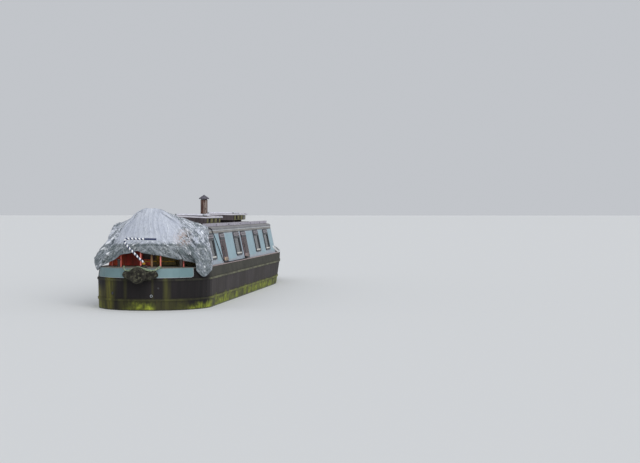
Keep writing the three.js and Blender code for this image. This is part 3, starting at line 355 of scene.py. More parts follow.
# %% Rope finish
def rope_finish(name, dark, light):
    """Worn fibre: two tones, a fine weave and no shine."""
    material, tree, shader = shade(name, Roughness=0.85, Specular_IOR_Level=0.3)
    tone = blend_ink(tree, weather(tree, "Clouds", Scale=30.0), dark, light)
    tree.links.new(tone, shader.inputs["Base Color"])
    bump(tree, shader, weather(tree, "Weave", Scale=1500.0), 0.4, 0.001)
    return material


black_rope = rope_finish("black_rope", "#0d0e11", "#1d1f24")
print("finish", black_rope.name)

# %% Tie rope
rope_keys = [
    (0.816, -4.359, 1.921), (0.812, -4.290, 1.912), (0.814, -4.180, 1.904), (0.816, -4.060, 1.893),
    (0.819, -3.960, 1.866), (0.822, -3.880, 1.820), (0.840, -3.790, 1.735), (0.857, -3.700, 1.652),
    (0.881, -3.610, 1.540), (0.905, -3.520, 1.425), (0.932, -3.430, 1.300), (0.950, -3.360, 1.252),
    (0.962, -3.270, 1.239), (0.972, -3.100, 1.238), (0.966, -2.800, 1.238), (0.974, -2.450, 1.238),
    (0.968, -2.100, 1.238), (0.975, -1.750, 1.238), (0.970, -1.450, 1.238), (0.966, -1.200, 1.238),
    (0.963, -1.060, 1.242), (0.962, -1.000, 1.256),
]
ROPE_THICK = 0.014
ROPE_STRANDS = {"strands": 3, "lay": 0.045, "depth": 0.12}
rope_route = evenly(smooth_route(rope_keys), 0.006)
tie_rope = build("tie_rope_line", *tube(rope_route, ROPE_THICK / 2, 12, **ROPE_STRANDS), black_rope,
                 slot="black_rope")
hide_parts("tie_rope")
# A hitch of two crossed turns holds the rope on the cleat's horns
HITCH, HITCH_STEPS = Vector((0.962, -0.930, 1.262)), 96
turns = []
for step in range(HITCH_STEPS + 1):
    angle = step / HITCH_STEPS * math.tau * 2
    forward = 0.062 * math.sin(angle / 2 + 0.4) * math.cos(angle / 2)
    turns.append(HITCH + Vector((0.021 * math.cos(angle), forward, 0.017 * math.sin(angle))))
hitch = build("cleat_hitch", *tube(turns, 0.006, 10, **ROPE_STRANDS), black_rope, slot="black_rope")
route_length(rope_route)
[tuple(p) for p in rope_route]
print("tie rope", round(route_length(rope_route), 3), "m")

# %% [markdown]
# The boat floats, so the floor lies at its waterline, half a metre above the base plate, and
# hides the wet part of the hull. It is one wide pale plane. The light is a bright grey sky with
# one very broad sun from astern and to starboard, which gives soft shadows like a dull day.

# %% Floor and light
WATERLINE = 0.50
FLOOR_HALF = 420
floor_mesh = bpy.data.meshes.new("studio_floor")
SQUARE = ((-1, -1), (1, -1), (1, 1), (-1, 1))
corners = [(x * FLOOR_HALF, y * FLOOR_HALF, WATERLINE) for x, y in SQUARE]
floor_mesh.from_pydata(corners, [], [(0, 1, 2, 3)])
studio_floor = bpy.data.objects.new("studio_floor", floor_mesh)
bpy.context.scene.collection.objects.link(studio_floor)
pale_floor, tree, shader = shade("pale_floor", Roughness=0.8)
shader.inputs["Base Color"].default_value = ink("#dfe0e0")
floor_mesh.materials.append(pale_floor)
studio_floor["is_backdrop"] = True
sky = bpy.data.worlds.new("studio_sky")
sky.use_nodes = True
sky.node_tree.nodes["Background"].inputs[0].default_value = (0.84, 0.87, 0.92, 1)
sky.node_tree.nodes["Background"].inputs[1].default_value = 0.64
bpy.context.scene.world = sky
sun = bpy.data.objects.new("broad_sun", bpy.data.lights.new("broad_sun", "SUN"))
sun.data.energy = 2.0
sun.data.angle = math.radians(50)
sun.rotation_euler = Vector((-0.42, 0.78, -0.50)).to_track_quat("-Z", "Y").to_euler()
bpy.context.scene.collection.objects.link(sun)
bpy.context.scene.view_settings.view_transform = "Standard"
print("floor at", WATERLINE)

# %% [markdown]
# The hull's black paint has weathered to a purple brown. Moss grows in a bright band at the
# waterline and on the lower rubbing strake, algae runs down the stern in olive streaks, and
# the strakes are drawn pale in patches: rubbed paint, and on the upper strake also a painted
# highlight where its edge catches the light. Painting a picture on the hull would need UV
# maps. Masks made from height and noise give the same marks everywhere and follow the strakes
# up at the bow.

# %% Hull finish
hull_paint, tree, shader = shade("hull_paint", Roughness=0.7, Specular_IOR_Level=0.25)
at = place_of(tree)
x, y, z = axes_of(tree)
bow_rise = sums(tree, "POWER", spread(tree, y, 3.5, 6.1), 1.6)
paint = blend_ink(tree, weather(tree, "Clouds", Scale=1.7), "#352f2c", "#413b3b")
paint = blend_ink(tree, weather(tree, "Runs", Scale=16.0), paint, "#1f1b1c")
above = spread(tree, sums(tree, "SUBTRACT", z, times(tree, bow_rise, 0.19)), 1.035, 1.045)
upper = blend_ink(tree, weather(tree, "Clouds", Scale=3.0), "#302f28", "#3d3b34")
upper = blend_ink(tree, weather(tree, "Runs", Scale=22.0), upper, "#4a483d")
paint = blend_ink(tree, above, paint, upper)
stern = spread(tree, y, -4.95, -5.25)
stern_paint = blend_ink(tree, weather(tree, "Runs", Scale=10.0, Low=0.4), "#1a1617", "#0e0c0d")
streaks = times(tree, spread(tree, x, -0.62, -0.88, 0.0, 0.6), spread(tree, z, 0.95, 0.80))
for centre, reach, most in ((-0.60, 0.15, 1.0), (0.42, 0.08, 0.65), (0.19, 0.03, 0.35), (-0.30, 0.05, 0.30)):
    streak = spread(tree, off_from(tree, x, centre), reach, reach * 0.2, 0.0, most)
    streaks = sums(tree, "MAXIMUM", streaks, streak)
low_film = times(tree, spread(tree, z, 0.72, 0.66, 0.0, 0.42),
                 spread(tree, off_from(tree, x, 0.0), 0.85, 0.60))
streaks = sums(tree, "MAXIMUM", streaks, low_film)
streaks = times(tree, streaks, weather(tree, "Runs", Scale=7.0, Low=0.34, High=0.56))
streak_tone = blend_ink(tree, spread(tree, x, -0.50, -0.80), "#4a4a1f", "#77722a")
stern_paint = blend_ink(tree, streaks, stern_paint, streak_tone)
paint = blend_ink(tree, stern, paint, stern_paint)
rust = times(tree, weather(tree, "Clouds", Scale=9.0, Low=0.66, High=0.74),
             weather(tree, "Runs", Scale=14.0, Low=0.5))
paint = blend_ink(tree, rust, paint, "#6b4530")
off_stern = spread(tree, stern, 0.3, 1.0, 1.0, 0.12)
strake_masks = []
for centre, rise in ((1.025, 0.19), (0.68, 0.06)):
    off = off_from(tree, sums(tree, "SUBTRACT", z, centre), times(tree, bow_rise, rise))
    strake_masks.append(times(tree, spread(tree, off, 0.019, 0.016), off_stern))
strake_patches = spread(tree, noisy(tree, stretched(tree, at, (1, 0.3, 1)), 9.0, 4.0), 0.36, 0.62, 0.15, 0.9)
# Painted highlight and wear: pale patches along the upper strake, partly rubbed paint and partly light caught
# on its edge.
paint = blend_ink(tree, times(tree, strake_masks[0], strake_patches), paint, "#75765c")
moss_tone = blend_ink(tree, weather(tree, "Clouds", Scale=14.0), "#56601c", "#98a136")
moss_tone = blend_ink(tree, weather(tree, "Runs", Scale=26.0, Low=0.5), moss_tone, "#35351c")
paint = blend_ink(tree, times(tree, strake_masks[1], strake_patches), paint, "#7d8140")
side_moss = times(tree, weather(tree, "Tide", Height=0.66, Softness=0.05, Ragged=0.32),
                  spread(tree, stern, 1.0, 0.0))
low_moss = sums(tree, "MAXIMUM", spread(tree, x, -0.66, -0.85),
                spread(tree, off_from(tree, x, -0.06), 0.32, 0.20))
low_moss = sums(tree, "MAXIMUM", low_moss, spread(tree, x, 0.50, 0.80))
stern_moss = times(tree, weather(tree, "Tide", Height=0.60, Softness=0.06, Ragged=0.38),
                   times(tree, stern, low_moss))
moss = sums(tree, "ADD", side_moss, stern_moss, clamp=True)
patchy = spread(tree, weather(tree, "Clouds", Scale=3.2, Low=0.40, High=0.56), 0.0, 1.0, 0.22, 1.0)
moss = times(tree, moss, patchy)
paint = blend_ink(tree, moss, paint, moss_tone)
wet = weather(tree, "Tide", Height=0.515, Softness=0.012, Ragged=0.02)
paint = blend_ink(tree, wet, paint, "#23241c")
tree.links.new(paint, shader.inputs["Base Color"])
tree.links.new(spread(tree, wet, 0.0, 1.0, 0.72, 0.3), shader.inputs["Roughness"])
rough_skin = sums(tree, "ADD", noisy(tree, at, 60.0, 4.0), times(tree, moss, noisy(tree, at, 220.0, 2.0)))
bump(tree, shader, rough_skin, 0.35, 0.004)
print("hull finish", len(tree.nodes), "nodes")

# %% [markdown]
# The rest of the steelwork is brush-painted. One recipe covers it all: a base colour with
# cloudy fading, a darker grime that runs down, dust where the surface faces up, specks of rust
# and a faint brushed ripple in the gloss. Each finish places the recipe with its own colours.

# %% Painted steel
def painted(name, base, faded, grime, grime_low=0.55, dust=0.4, rust=0.0, roughness=0.5, runs=12.0):
    """Weathered brush paint on steel."""
    material, tree, shader = shade(name, Coat_Weight=0.08, Coat_Roughness=0.35)
    tone = blend_ink(tree, weather(tree, "Clouds", Scale=2.3), base, faded)
    streaks = weather(tree, "Runs", Scale=runs, Low=grime_low, High=grime_low + 0.3)
    tone = blend_ink(tree, streaks, tone, grime)
    tone = blend_ink(tree, weather(tree, "Dust", Amount=dust), tone, "#a7a396")
    specks = weather(tree, "Clouds", Scale=38.0, Low=0.76 - rust * 0.2, High=0.80)
    tone = blend_ink(tree, times(tree, specks, min(1.0, rust * 2)), tone, "#7a4a31")
    tree.links.new(tone, shader.inputs["Base Color"])
    ripple = noisy(tree, stretched(tree, place_of(tree), (1, 0.12, 1)), 90.0, 3.0)
    tree.links.new(spread(tree, ripple, 0.3, 0.7, roughness - 0.08, roughness + 0.1),
                   shader.inputs["Roughness"])
    bump(tree, shader, ripple, 0.08, 0.001)
    return material


cabin_blue = painted("cabin_blue", "#929fac", "#9fabb6", "#78838c", 0.62, 0.3, 0.05, 0.45)
gunwale_pink = painted("gunwale_pink", "#9c8587", "#ab9694", "#71665f", 0.5, 0.3, 0.3)
deck_grey = painted("deck_grey", "#55524b", "#67635a", "#3c3932", 0.5, 0.5, 0.4, 0.65)
roof_lilac = painted("roof_lilac", "#717176", "#7e7d82", "#575656", 0.5, 0.5, 0.1, 0.6)
rail_lilac = painted("rail_lilac", "#98939f", "#aba6b1", "#726e76", 0.5, 0.2, 0.15)
door_maroon = painted("door_maroon", "#421d21", "#51282c", "#291416", 0.5, 0.2, 0.0, 0.45)
post_pink = painted("post_pink", "#d8665c", "#e2857a", "#a34a42", 0.55, 0.2, 0.15)
panel_green = painted("panel_green", "#5c767a", "#678286", "#4c6163", 0.6, 0.2, 0.05, 0.5, 9.0)
white_trim = painted("white_trim", "#bfc3c6", "#cdd0d2", "#868b8a", 0.6, 0.15, 0.05)
dark_trim = painted("dark_trim", "#24272b", "#31353a", "#15171a", 0.6, 0.3, 0.0)
print("painted finishes ready")

# %% [markdown]
# Timber, rusted iron and bare metal complete the plain finishes. The roof crates are brown sawn
# boards with grey lids, and the crates' boards are darkened as painted shade under the lids'
# overhang. Dark lines across the grain's way mark where one board
# ends and the next begins, which is cheaper than modelling every board.

# %% Timber and metals
def timber(name, pale, dark, board=0.0, across=0, along=0.04, scale=34.0, roughness=0.8):
    """Sawn wood. board is a board's width, across the axis on which they lie, along the grain's stretch."""
    material, tree, shader = shade(name, Roughness=roughness)
    grain_node = wire(tree, "ShaderNodeGroup", node_tree=grain)
    grain_node.inputs["Scale"].default_value = scale
    grain_node.inputs["Along"].default_value = along
    tone = blend_ink(tree, grain_node.outputs["Tone"], dark, pale)
    tone = blend_ink(tree, weather(tree, "Clouds", Scale=3.0), tone, pale)
    tone = blend_ink(tree, weather(tree, "Dust", Amount=0.75, Scale=9.0), tone, "#8f8d88")
    if board:
        place = axes_of(tree)[across]
        part = sums(tree, "FRACT", sums(tree, "DIVIDE", place, board))
        seam = spread(tree, off_from(tree, part, 0.5), 0.46, 0.485)
        tone = blend_ink(tree, seam, tone, "#1d1a16")
    tree.links.new(tone, shader.inputs["Base Color"])
    bump(tree, shader, grain_node.outputs["Height"], 0.5, 0.002)
    return material


def metal(name, light, dark, roughness, metallic=0.9):
    """Bare metal, duller in patches."""
    material, tree, shader = shade(name, Metallic=metallic)
    patch = weather(tree, "Clouds", Scale=20.0)
    tree.links.new(blend_ink(tree, patch, light, dark), shader.inputs["Base Color"])
    tree.links.new(spread(tree, patch, 0.0, 1.0, roughness - 0.08, roughness + 0.15),
                   shader.inputs["Roughness"])
    bump(tree, shader, noisy(tree, place_of(tree), 300.0), 0.1, 0.0005)
    return material


grey_boards = timber("grey_boards", "#5a4e47", "#33291f", 0.145)
# Painted shade: the crates' boards are a darker copy of the lid boards, for the shade under the lids.
crate_shaded = timber("crate_shaded", "#4a4245", "#2c2629", 0.145)
frame_wood = timber("frame_wood", "#9a7a58", "#6f5238")
cabin_ply = timber("cabin_ply", "#b08c5e", "#8a673f", 0.6, 1, 0.05, 20.0, 0.45)
door_wood = timber("door_wood", "#8d7a3a", "#5a4b22", 0.09, 0, 1.0, 26.0, 0.5)
dull_alloy = metal("dull_alloy", "#e4e4ee", "#c8c8d4", 0.45, 0.2)
window_alloy = metal("window_alloy", "#a3a8ab", "#7d8286", 0.42, 0.7)
machined_steel = metal("machined_steel", "#8a8d8f", "#5a5d5f", 0.35)
old_bronze = metal("old_bronze", "#9c7b4a", "#6a5a3a", 0.4)
cap_steel = metal("cap_steel", "#6b6872", "#4e4b54", 0.5, 0.4)
brass = metal("brass", "#c69a3c", "#a47a2a", 0.3)
iron_black = metal("iron_black", "#2b2b2d", "#3b3632", 0.55, 0.5)

flue_rust, tree, shader = shade("flue_rust", Roughness=0.85, Metallic=0.1)
tone = blend_ink(tree, weather(tree, "Clouds", Scale=7.0), "#452c24", "#5d3f33")
tone = blend_ink(tree, weather(tree, "Runs", Scale=22.0, Low=0.5, High=0.62), tone, "#8a7f78")
tone = blend_ink(tree, weather(tree, "Clouds", Scale=30.0, Low=0.6), tone, "#3b2820")
tree.links.new(tone, shader.inputs["Base Color"])
bump(tree, shader, noisy(tree, place_of(tree), 120.0, 5.0), 0.5, 0.002)
print("timber and metals ready")

# %% [markdown]
# Under the tarpaulin the aft bulkhead shows in three colours: bright orange-red by the rails,
# which is painted light where the light comes in, dark red behind the port post, which is
# painted shade, and olive brown to starboard. One finish with masks across the boat does it.
# The dollies on the deck are bare dark iron, so the deck's finish turns to iron above its
# plating.

# %% Finishes under the tarpaulin
under_cover, tree, shader = shade("under_cover", Roughness=0.55)
across = axes_of(tree)[0]
tone = blend_ink(tree, weather(tree, "Clouds", Scale=4.0), "#e4502c", "#f06238")
# Painted shade: a dark red band behind the port post, set in orange-red that is brightened as painted light.
shade_behind_post = times(tree, spread(tree, across, -0.64, -0.60), spread(tree, across, -0.235, -0.265))
tone = blend_ink(tree, shade_behind_post, tone, "#b23220")
olive = blend_ink(tree, weather(tree, "Clouds", Scale=7.0), "#7d6a2c", "#5a4c22")
tone = blend_ink(tree, spread(tree, across, -0.135, -0.125), tone, olive)
tone = blend_ink(tree, weather(tree, "Runs", Scale=14.0, Low=0.5), tone, "#4d2a18")
tree.links.new(tone, shader.inputs["Base Color"])
bump(tree, shader, noisy(tree, place_of(tree), 60.0, 3.0), 0.15, 0.001)

deck_and_iron, tree, shader = shade("deck_and_iron", Roughness=0.65)
high = spread(tree, axes_of(tree)[2], 1.233, 1.236)
tone = blend_ink(tree, weather(tree, "Clouds", Scale=6.0), "#55524b", "#67635a")
tone = blend_ink(tree, weather(tree, "Dust", Amount=0.5), tone, "#8b877a")
tone = blend_ink(tree, high, tone, blend_ink(tree, weather(tree, "Clouds", Scale=20.0), "#1e1d1d", "#3a2f2a"))
tree.links.new(tone, shader.inputs["Base Color"])
bump(tree, shader, noisy(tree, place_of(tree), 90.0, 4.0), 0.3, 0.002)
print("finishes under the tarpaulin ready")

# %% [markdown]
# Now each solid that keeps its own shape gets its finish. A table of name beginnings is
# shorter than a line for every node, and a node that the table misses stops the script.

# %% Finishes of the solids that stay
solid_finishes = [
    ("hull", hull_paint), ("base_plate", hull_paint), ("skeg", hull_paint), ("rudder", hull_paint),
    ("gunwale", gunwale_pink), ("stern_deck", deck_and_iron), ("fore_deck", deck_grey),
    ("well_deck", deck_grey),
    ("locker_lid", deck_grey), ("cleat", iron_black), ("cabin_side", cabin_blue),
    ("front_bulkhead", cabin_blue),
    ("rear_bulkhead", under_cover), ("rear_door_port", under_cover), ("rear_door_starboard", door_wood),
    ("front_door", door_maroon), ("side_door", door_maroon), ("cabin_roof", roof_lilac),
    ("sliding_hatch", roof_lilac), ("hatch_runners", roof_lilac), ("handrail", rail_lilac),
    ("roof_crate", crate_shaded), ("solar_panel", dull_alloy), ("chimney_cap", cap_steel),
    ("chimney", flue_rust), ("taff_rail", post_pink), ("cabin_floor", cabin_ply),
    ("companion_steps", cabin_ply), ("engine", machined_steel), ("propeller", old_bronze),
    ("tarp_frame", frame_wood),
]
made_by_hand = ("window_", "tarpaulin", "tie_rope", "swan_neck", "stern_tipcat", "stern_button", "bow_fender")
for name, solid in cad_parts.items():
    if name.startswith(made_by_hand):
        continue
    finish = next(finish for start, finish in solid_finishes if name.startswith(start))
    solid.data.materials.clear()
    solid.data.materials.append(finish)
print("finished", len(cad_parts), "nodes but for", made_by_hand)

# %% [markdown]
# The stern carries a long painted panel below the deck edge, pale green with a light border
# and round ends. Painting it by a mask would leave its edge soft, so it is a thin skin
# instead. Each of its points is laid on the hull's own surface by finding the nearest place
# on it, and then lifted by about a millimetre.

# %% Stern panel
def solid_skin(*names):
    """The surface of some solids, for finding places on it."""
    meshes = []
    for name in names:
        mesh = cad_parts[name].data
        meshes.append(([v.co.copy() for v in mesh.vertices], [tuple(f.vertices) for f in mesh.polygons]))
    return BVHTree.FromPolygons(*joined(*meshes))


hull_skin = solid_skin("hull_stern", "stern_deck")
coach_line = painted("coach_line", "#a3a9ac", "#b4b9bc", "#73797d", 0.6, 0.1, 0.0)


def skin_on_hull(name, points, faces, lift, finish):
    """A thin skin. Each point moves to the hull's surface and out from it by lift."""
    laid = []
    for point in points:
        place, normal, _, _ = hull_skin.find_nearest(point)
        laid.append(place + normal * lift)
    return build(name, laid, faces, finish, slot="deck_paint")


def grid_faces(columns, rows):
    """Faces between points that are listed column by column."""
    starts = [i * (rows + 1) + j for i in range(columns) for j in range(rows)]
    return [(a, a + rows + 1, a + rows + 2, a + 1) for a in starts]


def sheet_grid(columns, rows, at):
    """Points and faces of a grid, from a function of two shares."""
    points = [at(i / columns, j / rows) for i in range(columns + 1) for j in range(rows + 1)]
    return points, grid_faces(columns, rows)


def counter_panel(port, starboard, low, high, corner):
    """A grid round the counter with round ends. port and starboard are angles in degrees."""
    def at(along, up):
        z = low + (high - low) * up
        off = (low + corner - z) if z < low + corner else 0.0
        cut = corner - math.sqrt(max(0.0, corner ** 2 - off ** 2)) if off > 0 else 0.0
        angle = -math.radians(port) + cut + along * (math.radians(port + starboard) - 2 * cut)
        return Vector((1.01 * math.sin(angle), -5.0 - 1.11 * math.cos(angle), z))
    return sheet_grid(110, 14, at)


skin_on_hull("stern_panel_border", *counter_panel(65.3, 54.7, 1.064, 1.2290, 0.052), 0.0010, coach_line)
panel = skin_on_hull("stern_panel", *counter_panel(65.0, 54.3, 1.069, 1.2294, 0.048), 0.0022, panel_green)
print("stern panel", len(panel.data.vertices), "points")

# %% [markdown]
# The cabin side leans in, so its trim is drawn flat and then placed on the slope. `side_point`
# takes a place along the boat, a height and a distance out from the wall. A round-cornered
# loop of such points, repeated at several sizes and depths, gives frames, panes and panels.

# %% Helpers for the cabin side
FOOT_X, FOOT_Z = 0.930, 1.230
EAVE_X, EAVE_Z = 0.803, 1.845
CORNER_STEPS = 6
LEAN = math.atan2(FOOT_X - EAVE_X, EAVE_Z - FOOT_Z)


def side_point(side, y, slope, out):
    """slope is measured up the wall from the gunwale, out from its outer face."""
    x = FOOT_X - slope * math.sin(LEAN) + out * math.cos(LEAN)
    return Vector((side * x, y, FOOT_Z + slope * math.cos(LEAN) + out * math.sin(LEAN)))


def up_slope(z):
    """A height as a distance up the wall."""
    return (z - FOOT_Z) / math.cos(LEAN)


def loop(side, box, grow, out, corner):
    """A round-cornered loop. box is aft, fore, low and high, the last two as heights."""
    aft, fore, low, high = box[0] - grow, box[1] + grow, up_slope(box[2]) - grow, up_slope(box[3]) + grow
    r = max(corner + grow, 0.004)
    points = []
    for cy, cz, start in ((fore - r, low + r, -90), (fore - r, high - r, 0), (aft + r, high - r, 90),
                          (aft + r, low + r, 180)):
        for step in range(CORNER_STEPS + 1):
            angle = math.radians(start + 90 * step / CORNER_STEPS)
            points.append(side_point(side, cy + r * math.cos(angle), cz + r * math.sin(angle), out))
    return points


def lofted(loops, ring=False):
    """Joins loops of equal length. A ring closes on itself, and a slab gets two caps."""
    size = len(loops[0])
    points = [p for one in loops for p in one]
    faces = []
    for k in range(len(loops) - (0 if ring else 1)):
        for i in range(size):
            j = (i + 1) % size
            n = ((k + 1) % len(loops)) * size
            faces.append((k * size + i, k * size + j, n + j, n + i))
    if not ring:
        faces.append(tuple(reversed(range(size))))
        faces.append(tuple(range((len(loops) - 1) * size, len(loops) * size)))
    return points, faces


def side_slab(side, box, steps, corner=0.055, ring=False):
    """A slab on the wall. steps are pairs of how far the loop grows and how far out it stands."""
    return lofted([loop(side, box, grow, out, corner) for grow, out in steps], ring)


def side_ring(side, box, steps, corner=0.055):
    return side_slab(side, box, steps, corner, ring=True)


SIDES = (("starboard", 1), ("port", -1))
OPENINGS = {"1": (-4.550, -3.940), "2": (-3.270, -2.760), "3": (-1.750, -1.140), "4": (-0.870, -0.260),
            "5": (0.740, 1.340), "6": (2.140, 2.730)}
SIDE_DOORS = ("2", "4")
print("lean", round(math.degrees(LEAN), 2), "degrees")

# %% [markdown]
# Each window has a dark frame that laps over the wall, a tinted pane, and a grey top-hung
# hopper with round corners. The frame is a ring whose section steps in from the lap to the
# glass. The panes are real glass, thin slabs that let some light through to the curtains.

# %% Glass
def glazing(name, tint, roughness):
    """Tinted glass with a film of dirt that dulls it in places."""
    material, tree, shader = shade(name, Transmission_Weight=0.82, IOR=1.45, Metallic=0.0,
                                   Specular_IOR_Level=0.06)
    film = weather(tree, "Runs", Scale=14.0, Low=0.5, High=0.8)
    tree.links.new(blend_ink(tree, film, tint, "#8b9190"), shader.inputs["Base Color"])
    tree.links.new(spread(tree, film, 0.0, 1.0, roughness, roughness + 0.25), shader.inputs["Roughness"])
    return material


tinted_glass = glazing("tinted_glass", "#2c3436", 0.09)
hopper_glass = glazing("hopper_glass", "#8f8a90", 0.34)
hopper_grey = painted("hopper_grey", "#8a8288", "#989097", "#5f585d", 0.5, 0.2, 0.1)
stay_white = painted("stay_white", "#dfe1e2", "#eceeef", "#a7abac", 0.6, 0.2, 0.05)
sill_white = painted("sill_white", "#cfccc4", "#dcd9d0", "#a09c92", 0.6, 0.1)
print("glass ready")

# %% Windows
FRAME_STEPS = ((0.024, 0.0006), (0.024, 0.0165), (0.019, 0.0200), (0.003, 0.0200), (-0.005, 0.0160),
               (-0.014, 0.0090), (-0.016, -0.0130), (-0.002, -0.0155), (-0.002, 0.0006))
windows = [(name, side, number) for name, side in SIDES for number in OPENINGS
           if not (name == "starboard" and number in SIDE_DOORS)]
WINDOW_LOW, WINDOW_HIGH = 1.340, 1.775
HOPPER_RIM = ((0.010, 0.009), (0.010, 0.024), (0.0, 0.027), (-0.006, 0.024), (-0.006, 0.009))
for name, side, number in windows:
    aft, fore = OPENINGS[number]
    box, top = (aft, fore, WINDOW_LOW, WINDOW_HIGH), (aft + 0.035, fore - 0.035, 1.722, 1.765)
    rail = side_slab(side, (aft + 0.010, fore - 0.010, 1.668, 1.706),
                     ((0, -0.004), (0, 0.013), (-0.006, 0.017)), 0.010)
    for label, mesh, finish in (
            ("window_frame", joined(side_ring(side, box, FRAME_STEPS), rail), dark_trim),
            ("window_pane", side_slab(side, box, ((-0.0165, -0.007), (-0.0165, -0.002))), tinted_glass),
            ("hopper_frame", side_ring(side, top, HOPPER_RIM, 0.021), hopper_grey),
            ("hopper_pane", side_slab(side, top, ((-0.0055, 0.014), (-0.0055, 0.020)), 0.021), hopper_glass)):
        piece = build(f"{label}_{name}_{number}", *mesh, finish, slot="window_frame", sharp=40)
        if label == "window_frame":
            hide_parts(f"window_{name}_{number}")
print("windows", len(windows))

# %% [markdown]
# Behind the glass hang short curtains, two to a window, tied back low so that they open in a
# triangle. Each is a waved grid: the folds are a sine across it that grows towards the hem.
# The width it was cut to comes from its own area, because the folds take up cloth.

# %% Curtains
curtain_cloth, tree, shader = shade("curtain_cloth", Roughness=0.9, Sheen_Weight=0.2)
tone = blend_ink(tree, weather(tree, "Clouds", Scale=5.0), "#c9c5bf", "#a5a19b")
tree.links.new(blend_ink(tree, weather(tree, "Runs", Scale=30.0, Low=0.4), tone, "#86827f"),
               shader.inputs["Base Color"])
bump(tree, shader, weather(tree, "Weave", Scale=2200.0), 0.4, 0.0006)


def sheet_area(piece):
    return sum(face.area for face in piece.data.polygons)


for name, side, number in windows:
    aft, fore = OPENINGS[number]
    for hand, edge, way in (("aft", aft - 0.02, 1), ("fore", fore + 0.02, -1)):
        def hang(across, up, edge=edge, way=way, side=side, number=number):
            tie = math.exp(-((up - 0.36) / 0.16) ** 2)
            width = 0.27 - 0.15 * tie - 0.03 * up
            fold = math.sin(across * math.tau * 4.5 + ord(number) + way) * (0.016 - 0.006 * tie)
            lean = 0.02 * math.sin(3 * up + ord(number))
            y = edge + way * (across * width + lean * across)
            return side_point(side, y, up_slope(1.325 + 0.455 * up), -0.078 + fold)
        cloth = build(f"curtain_{name}_{number}_{hand}", *sheet_grid(54, 14, hang),
                      curtain_cloth, slot="tarpaulin")
print("curtains", 2 * len(windows))

# %% [markdown]
# A silver tarpaulin hangs over the stern deck from a ridge pole. It is smooth where it is pulled
# over the rail and crumpled like foil where it hangs loose. A cloth simulation would drape it
# anywhere, so the sheet is drawn from measured ribs instead, and each rib runs from the ridge
# down to the hem. Smooth curves fill the spaces, and creases are then pushed into the surface.

# %% Tarpaulin ribs
# back is the place along the ridge, from 0 at its fore end to 1, then four points in millimetres
TARP_RIBS = [
    (0.00, (200, -4390, 2128), (700, -4375, 1972), (765, -4372, 1955), (822, -4368, 1925)),
    (0.10, (230, -4495, 2125), (790, -4490, 1957), (838, -4480, 1893), (860, -4470, 1820)),
    (0.20, (300, -4615, 2110), (800, -4605, 1952), (858, -4582, 1825), (872, -4570, 1690)),
    (0.42, (420, -4855, 2100), (806, -4860, 1957), (884, -4840, 1775), (990, -4800, 1430)),
    (0.65, (260, -5080, 2180), (760, -5030, 1835), (950, -5060, 1540), (1052, -5090, 1240)),
    (0.90, (230, -5330, 2215), (640, -5225, 1900), (1030, -5270, 1530), (1050, -5300, 1150)),
    (1, (200, -5350, 2200), (705, -5255, 1642), (880, -5400, 1400), (978, -5500, 1070)),
    (1, (170, -5360, 2195), (610, -5318, 1643), (840, -5530, 1380), (872, -5600, 1168)),
    (1, (150, -5365, 2192), (540, -5346, 1643), (770, -5480, 1420), (862, -5592, 1238)),
    (1, (125, -5370, 2190), (470, -5372, 1644), (660, -5415, 1470), (795, -5440, 1309)),
    (1, (90, -5376, 2190), (330, -5412, 1645), (440, -5412, 1500), (522, -5402, 1359)),
    (1, (50, -5380, 2190), (190, -5443, 1646), (210, -5455, 1540), (213, -5462, 1429)),
    (1, (15, -5382, 2190), (40, -5456, 1646), (60, -5465, 1550), (75, -5470, 1450)),
    (1, (-25, -5382, 2190), (-110, -5454, 1646), (-120, -5463, 1560), (-131, -5468, 1482)),
    (1, (-65, -5380, 2190), (-240, -5440, 1645), (-240, -5453, 1580), (-240, -5460, 1516)),
    (1, (-105, -5376, 2190), (-370, -5405, 1644), (-375, -5425, 1560), (-381, -5438, 1474)),
    (1, (-140, -5370, 2190), (-490, -5364, 1644), (-512, -5395, 1550), (-535, -5420, 1450)),
    (1, (-175, -5362, 2192), (-590, -5325, 1643), (-625, -5375, 1520), (-650, -5425, 1365)),
    (1, (-200, -5350, 2196), (-655, -5290, 1643), (-735, -5380, 1480), (-805, -5440, 1288)),
    (1, (-208, -5345, 2198), (-690, -5270, 1643), (-825, -5420, 1440), (-886, -5530, 1237)),
    (1, (-220, -5340, 2200), (-715, -5248, 1642), (-870, -5400, 1430), (-945, -5490, 1175)),
    (0.90, (-250, -5330, 2208), (-600, -5225, 1890), (-1000, -5270, 1480), (-1054, -5300, 1310)),
    (0.65, (-260, -5080, 2180), (-760, -5030, 1835), (-950, -5060, 1540), (-1045, -5090, 1270)),
]
TARP_RIBS += [(back, *[(-px, py, pz) for px, py, pz in keys]) for back, *keys in reversed(TARP_RIBS[:4])]
RIDGE_FORE, RIDGE_AFT = Vector((0, -4.400, 2.196)), Vector((0, -5.360, 2.258))


def rib_curve(back, points, steps):
    """A rib from the ridge to the hem. It starts out level, so the ridge stays round."""
    top = RIDGE_FORE.lerp(RIDGE_AFT, back)
    keys = [top, *[Vector(p) / 1000 for p in points]]
    mirrored = Vector((2 * top.x - keys[1].x, 2 * top.y - keys[1].y, keys[1].z))
    return smooth_route(keys, steps, mirrored)


RIB_STEPS, BETWEEN = 20, 15
curves = [rib_curve(back, points, RIB_STEPS) for back, *points in TARP_RIBS]
padded_curves = [curves[0], *curves, curves[-1]]
tarp_rows = []
for span in range(len(curves) - 1):
    for step in range(BETWEEN):
        four = padded_curves[span:span + 4]
        tarp_rows.append([spline([c[k] for c in four], step / BETWEEN) for k in range(len(curves[0]))])
tarp_rows.append(curves[-1])
print("tarpaulin grid", len(tarp_rows), "by", len(tarp_rows[0]))
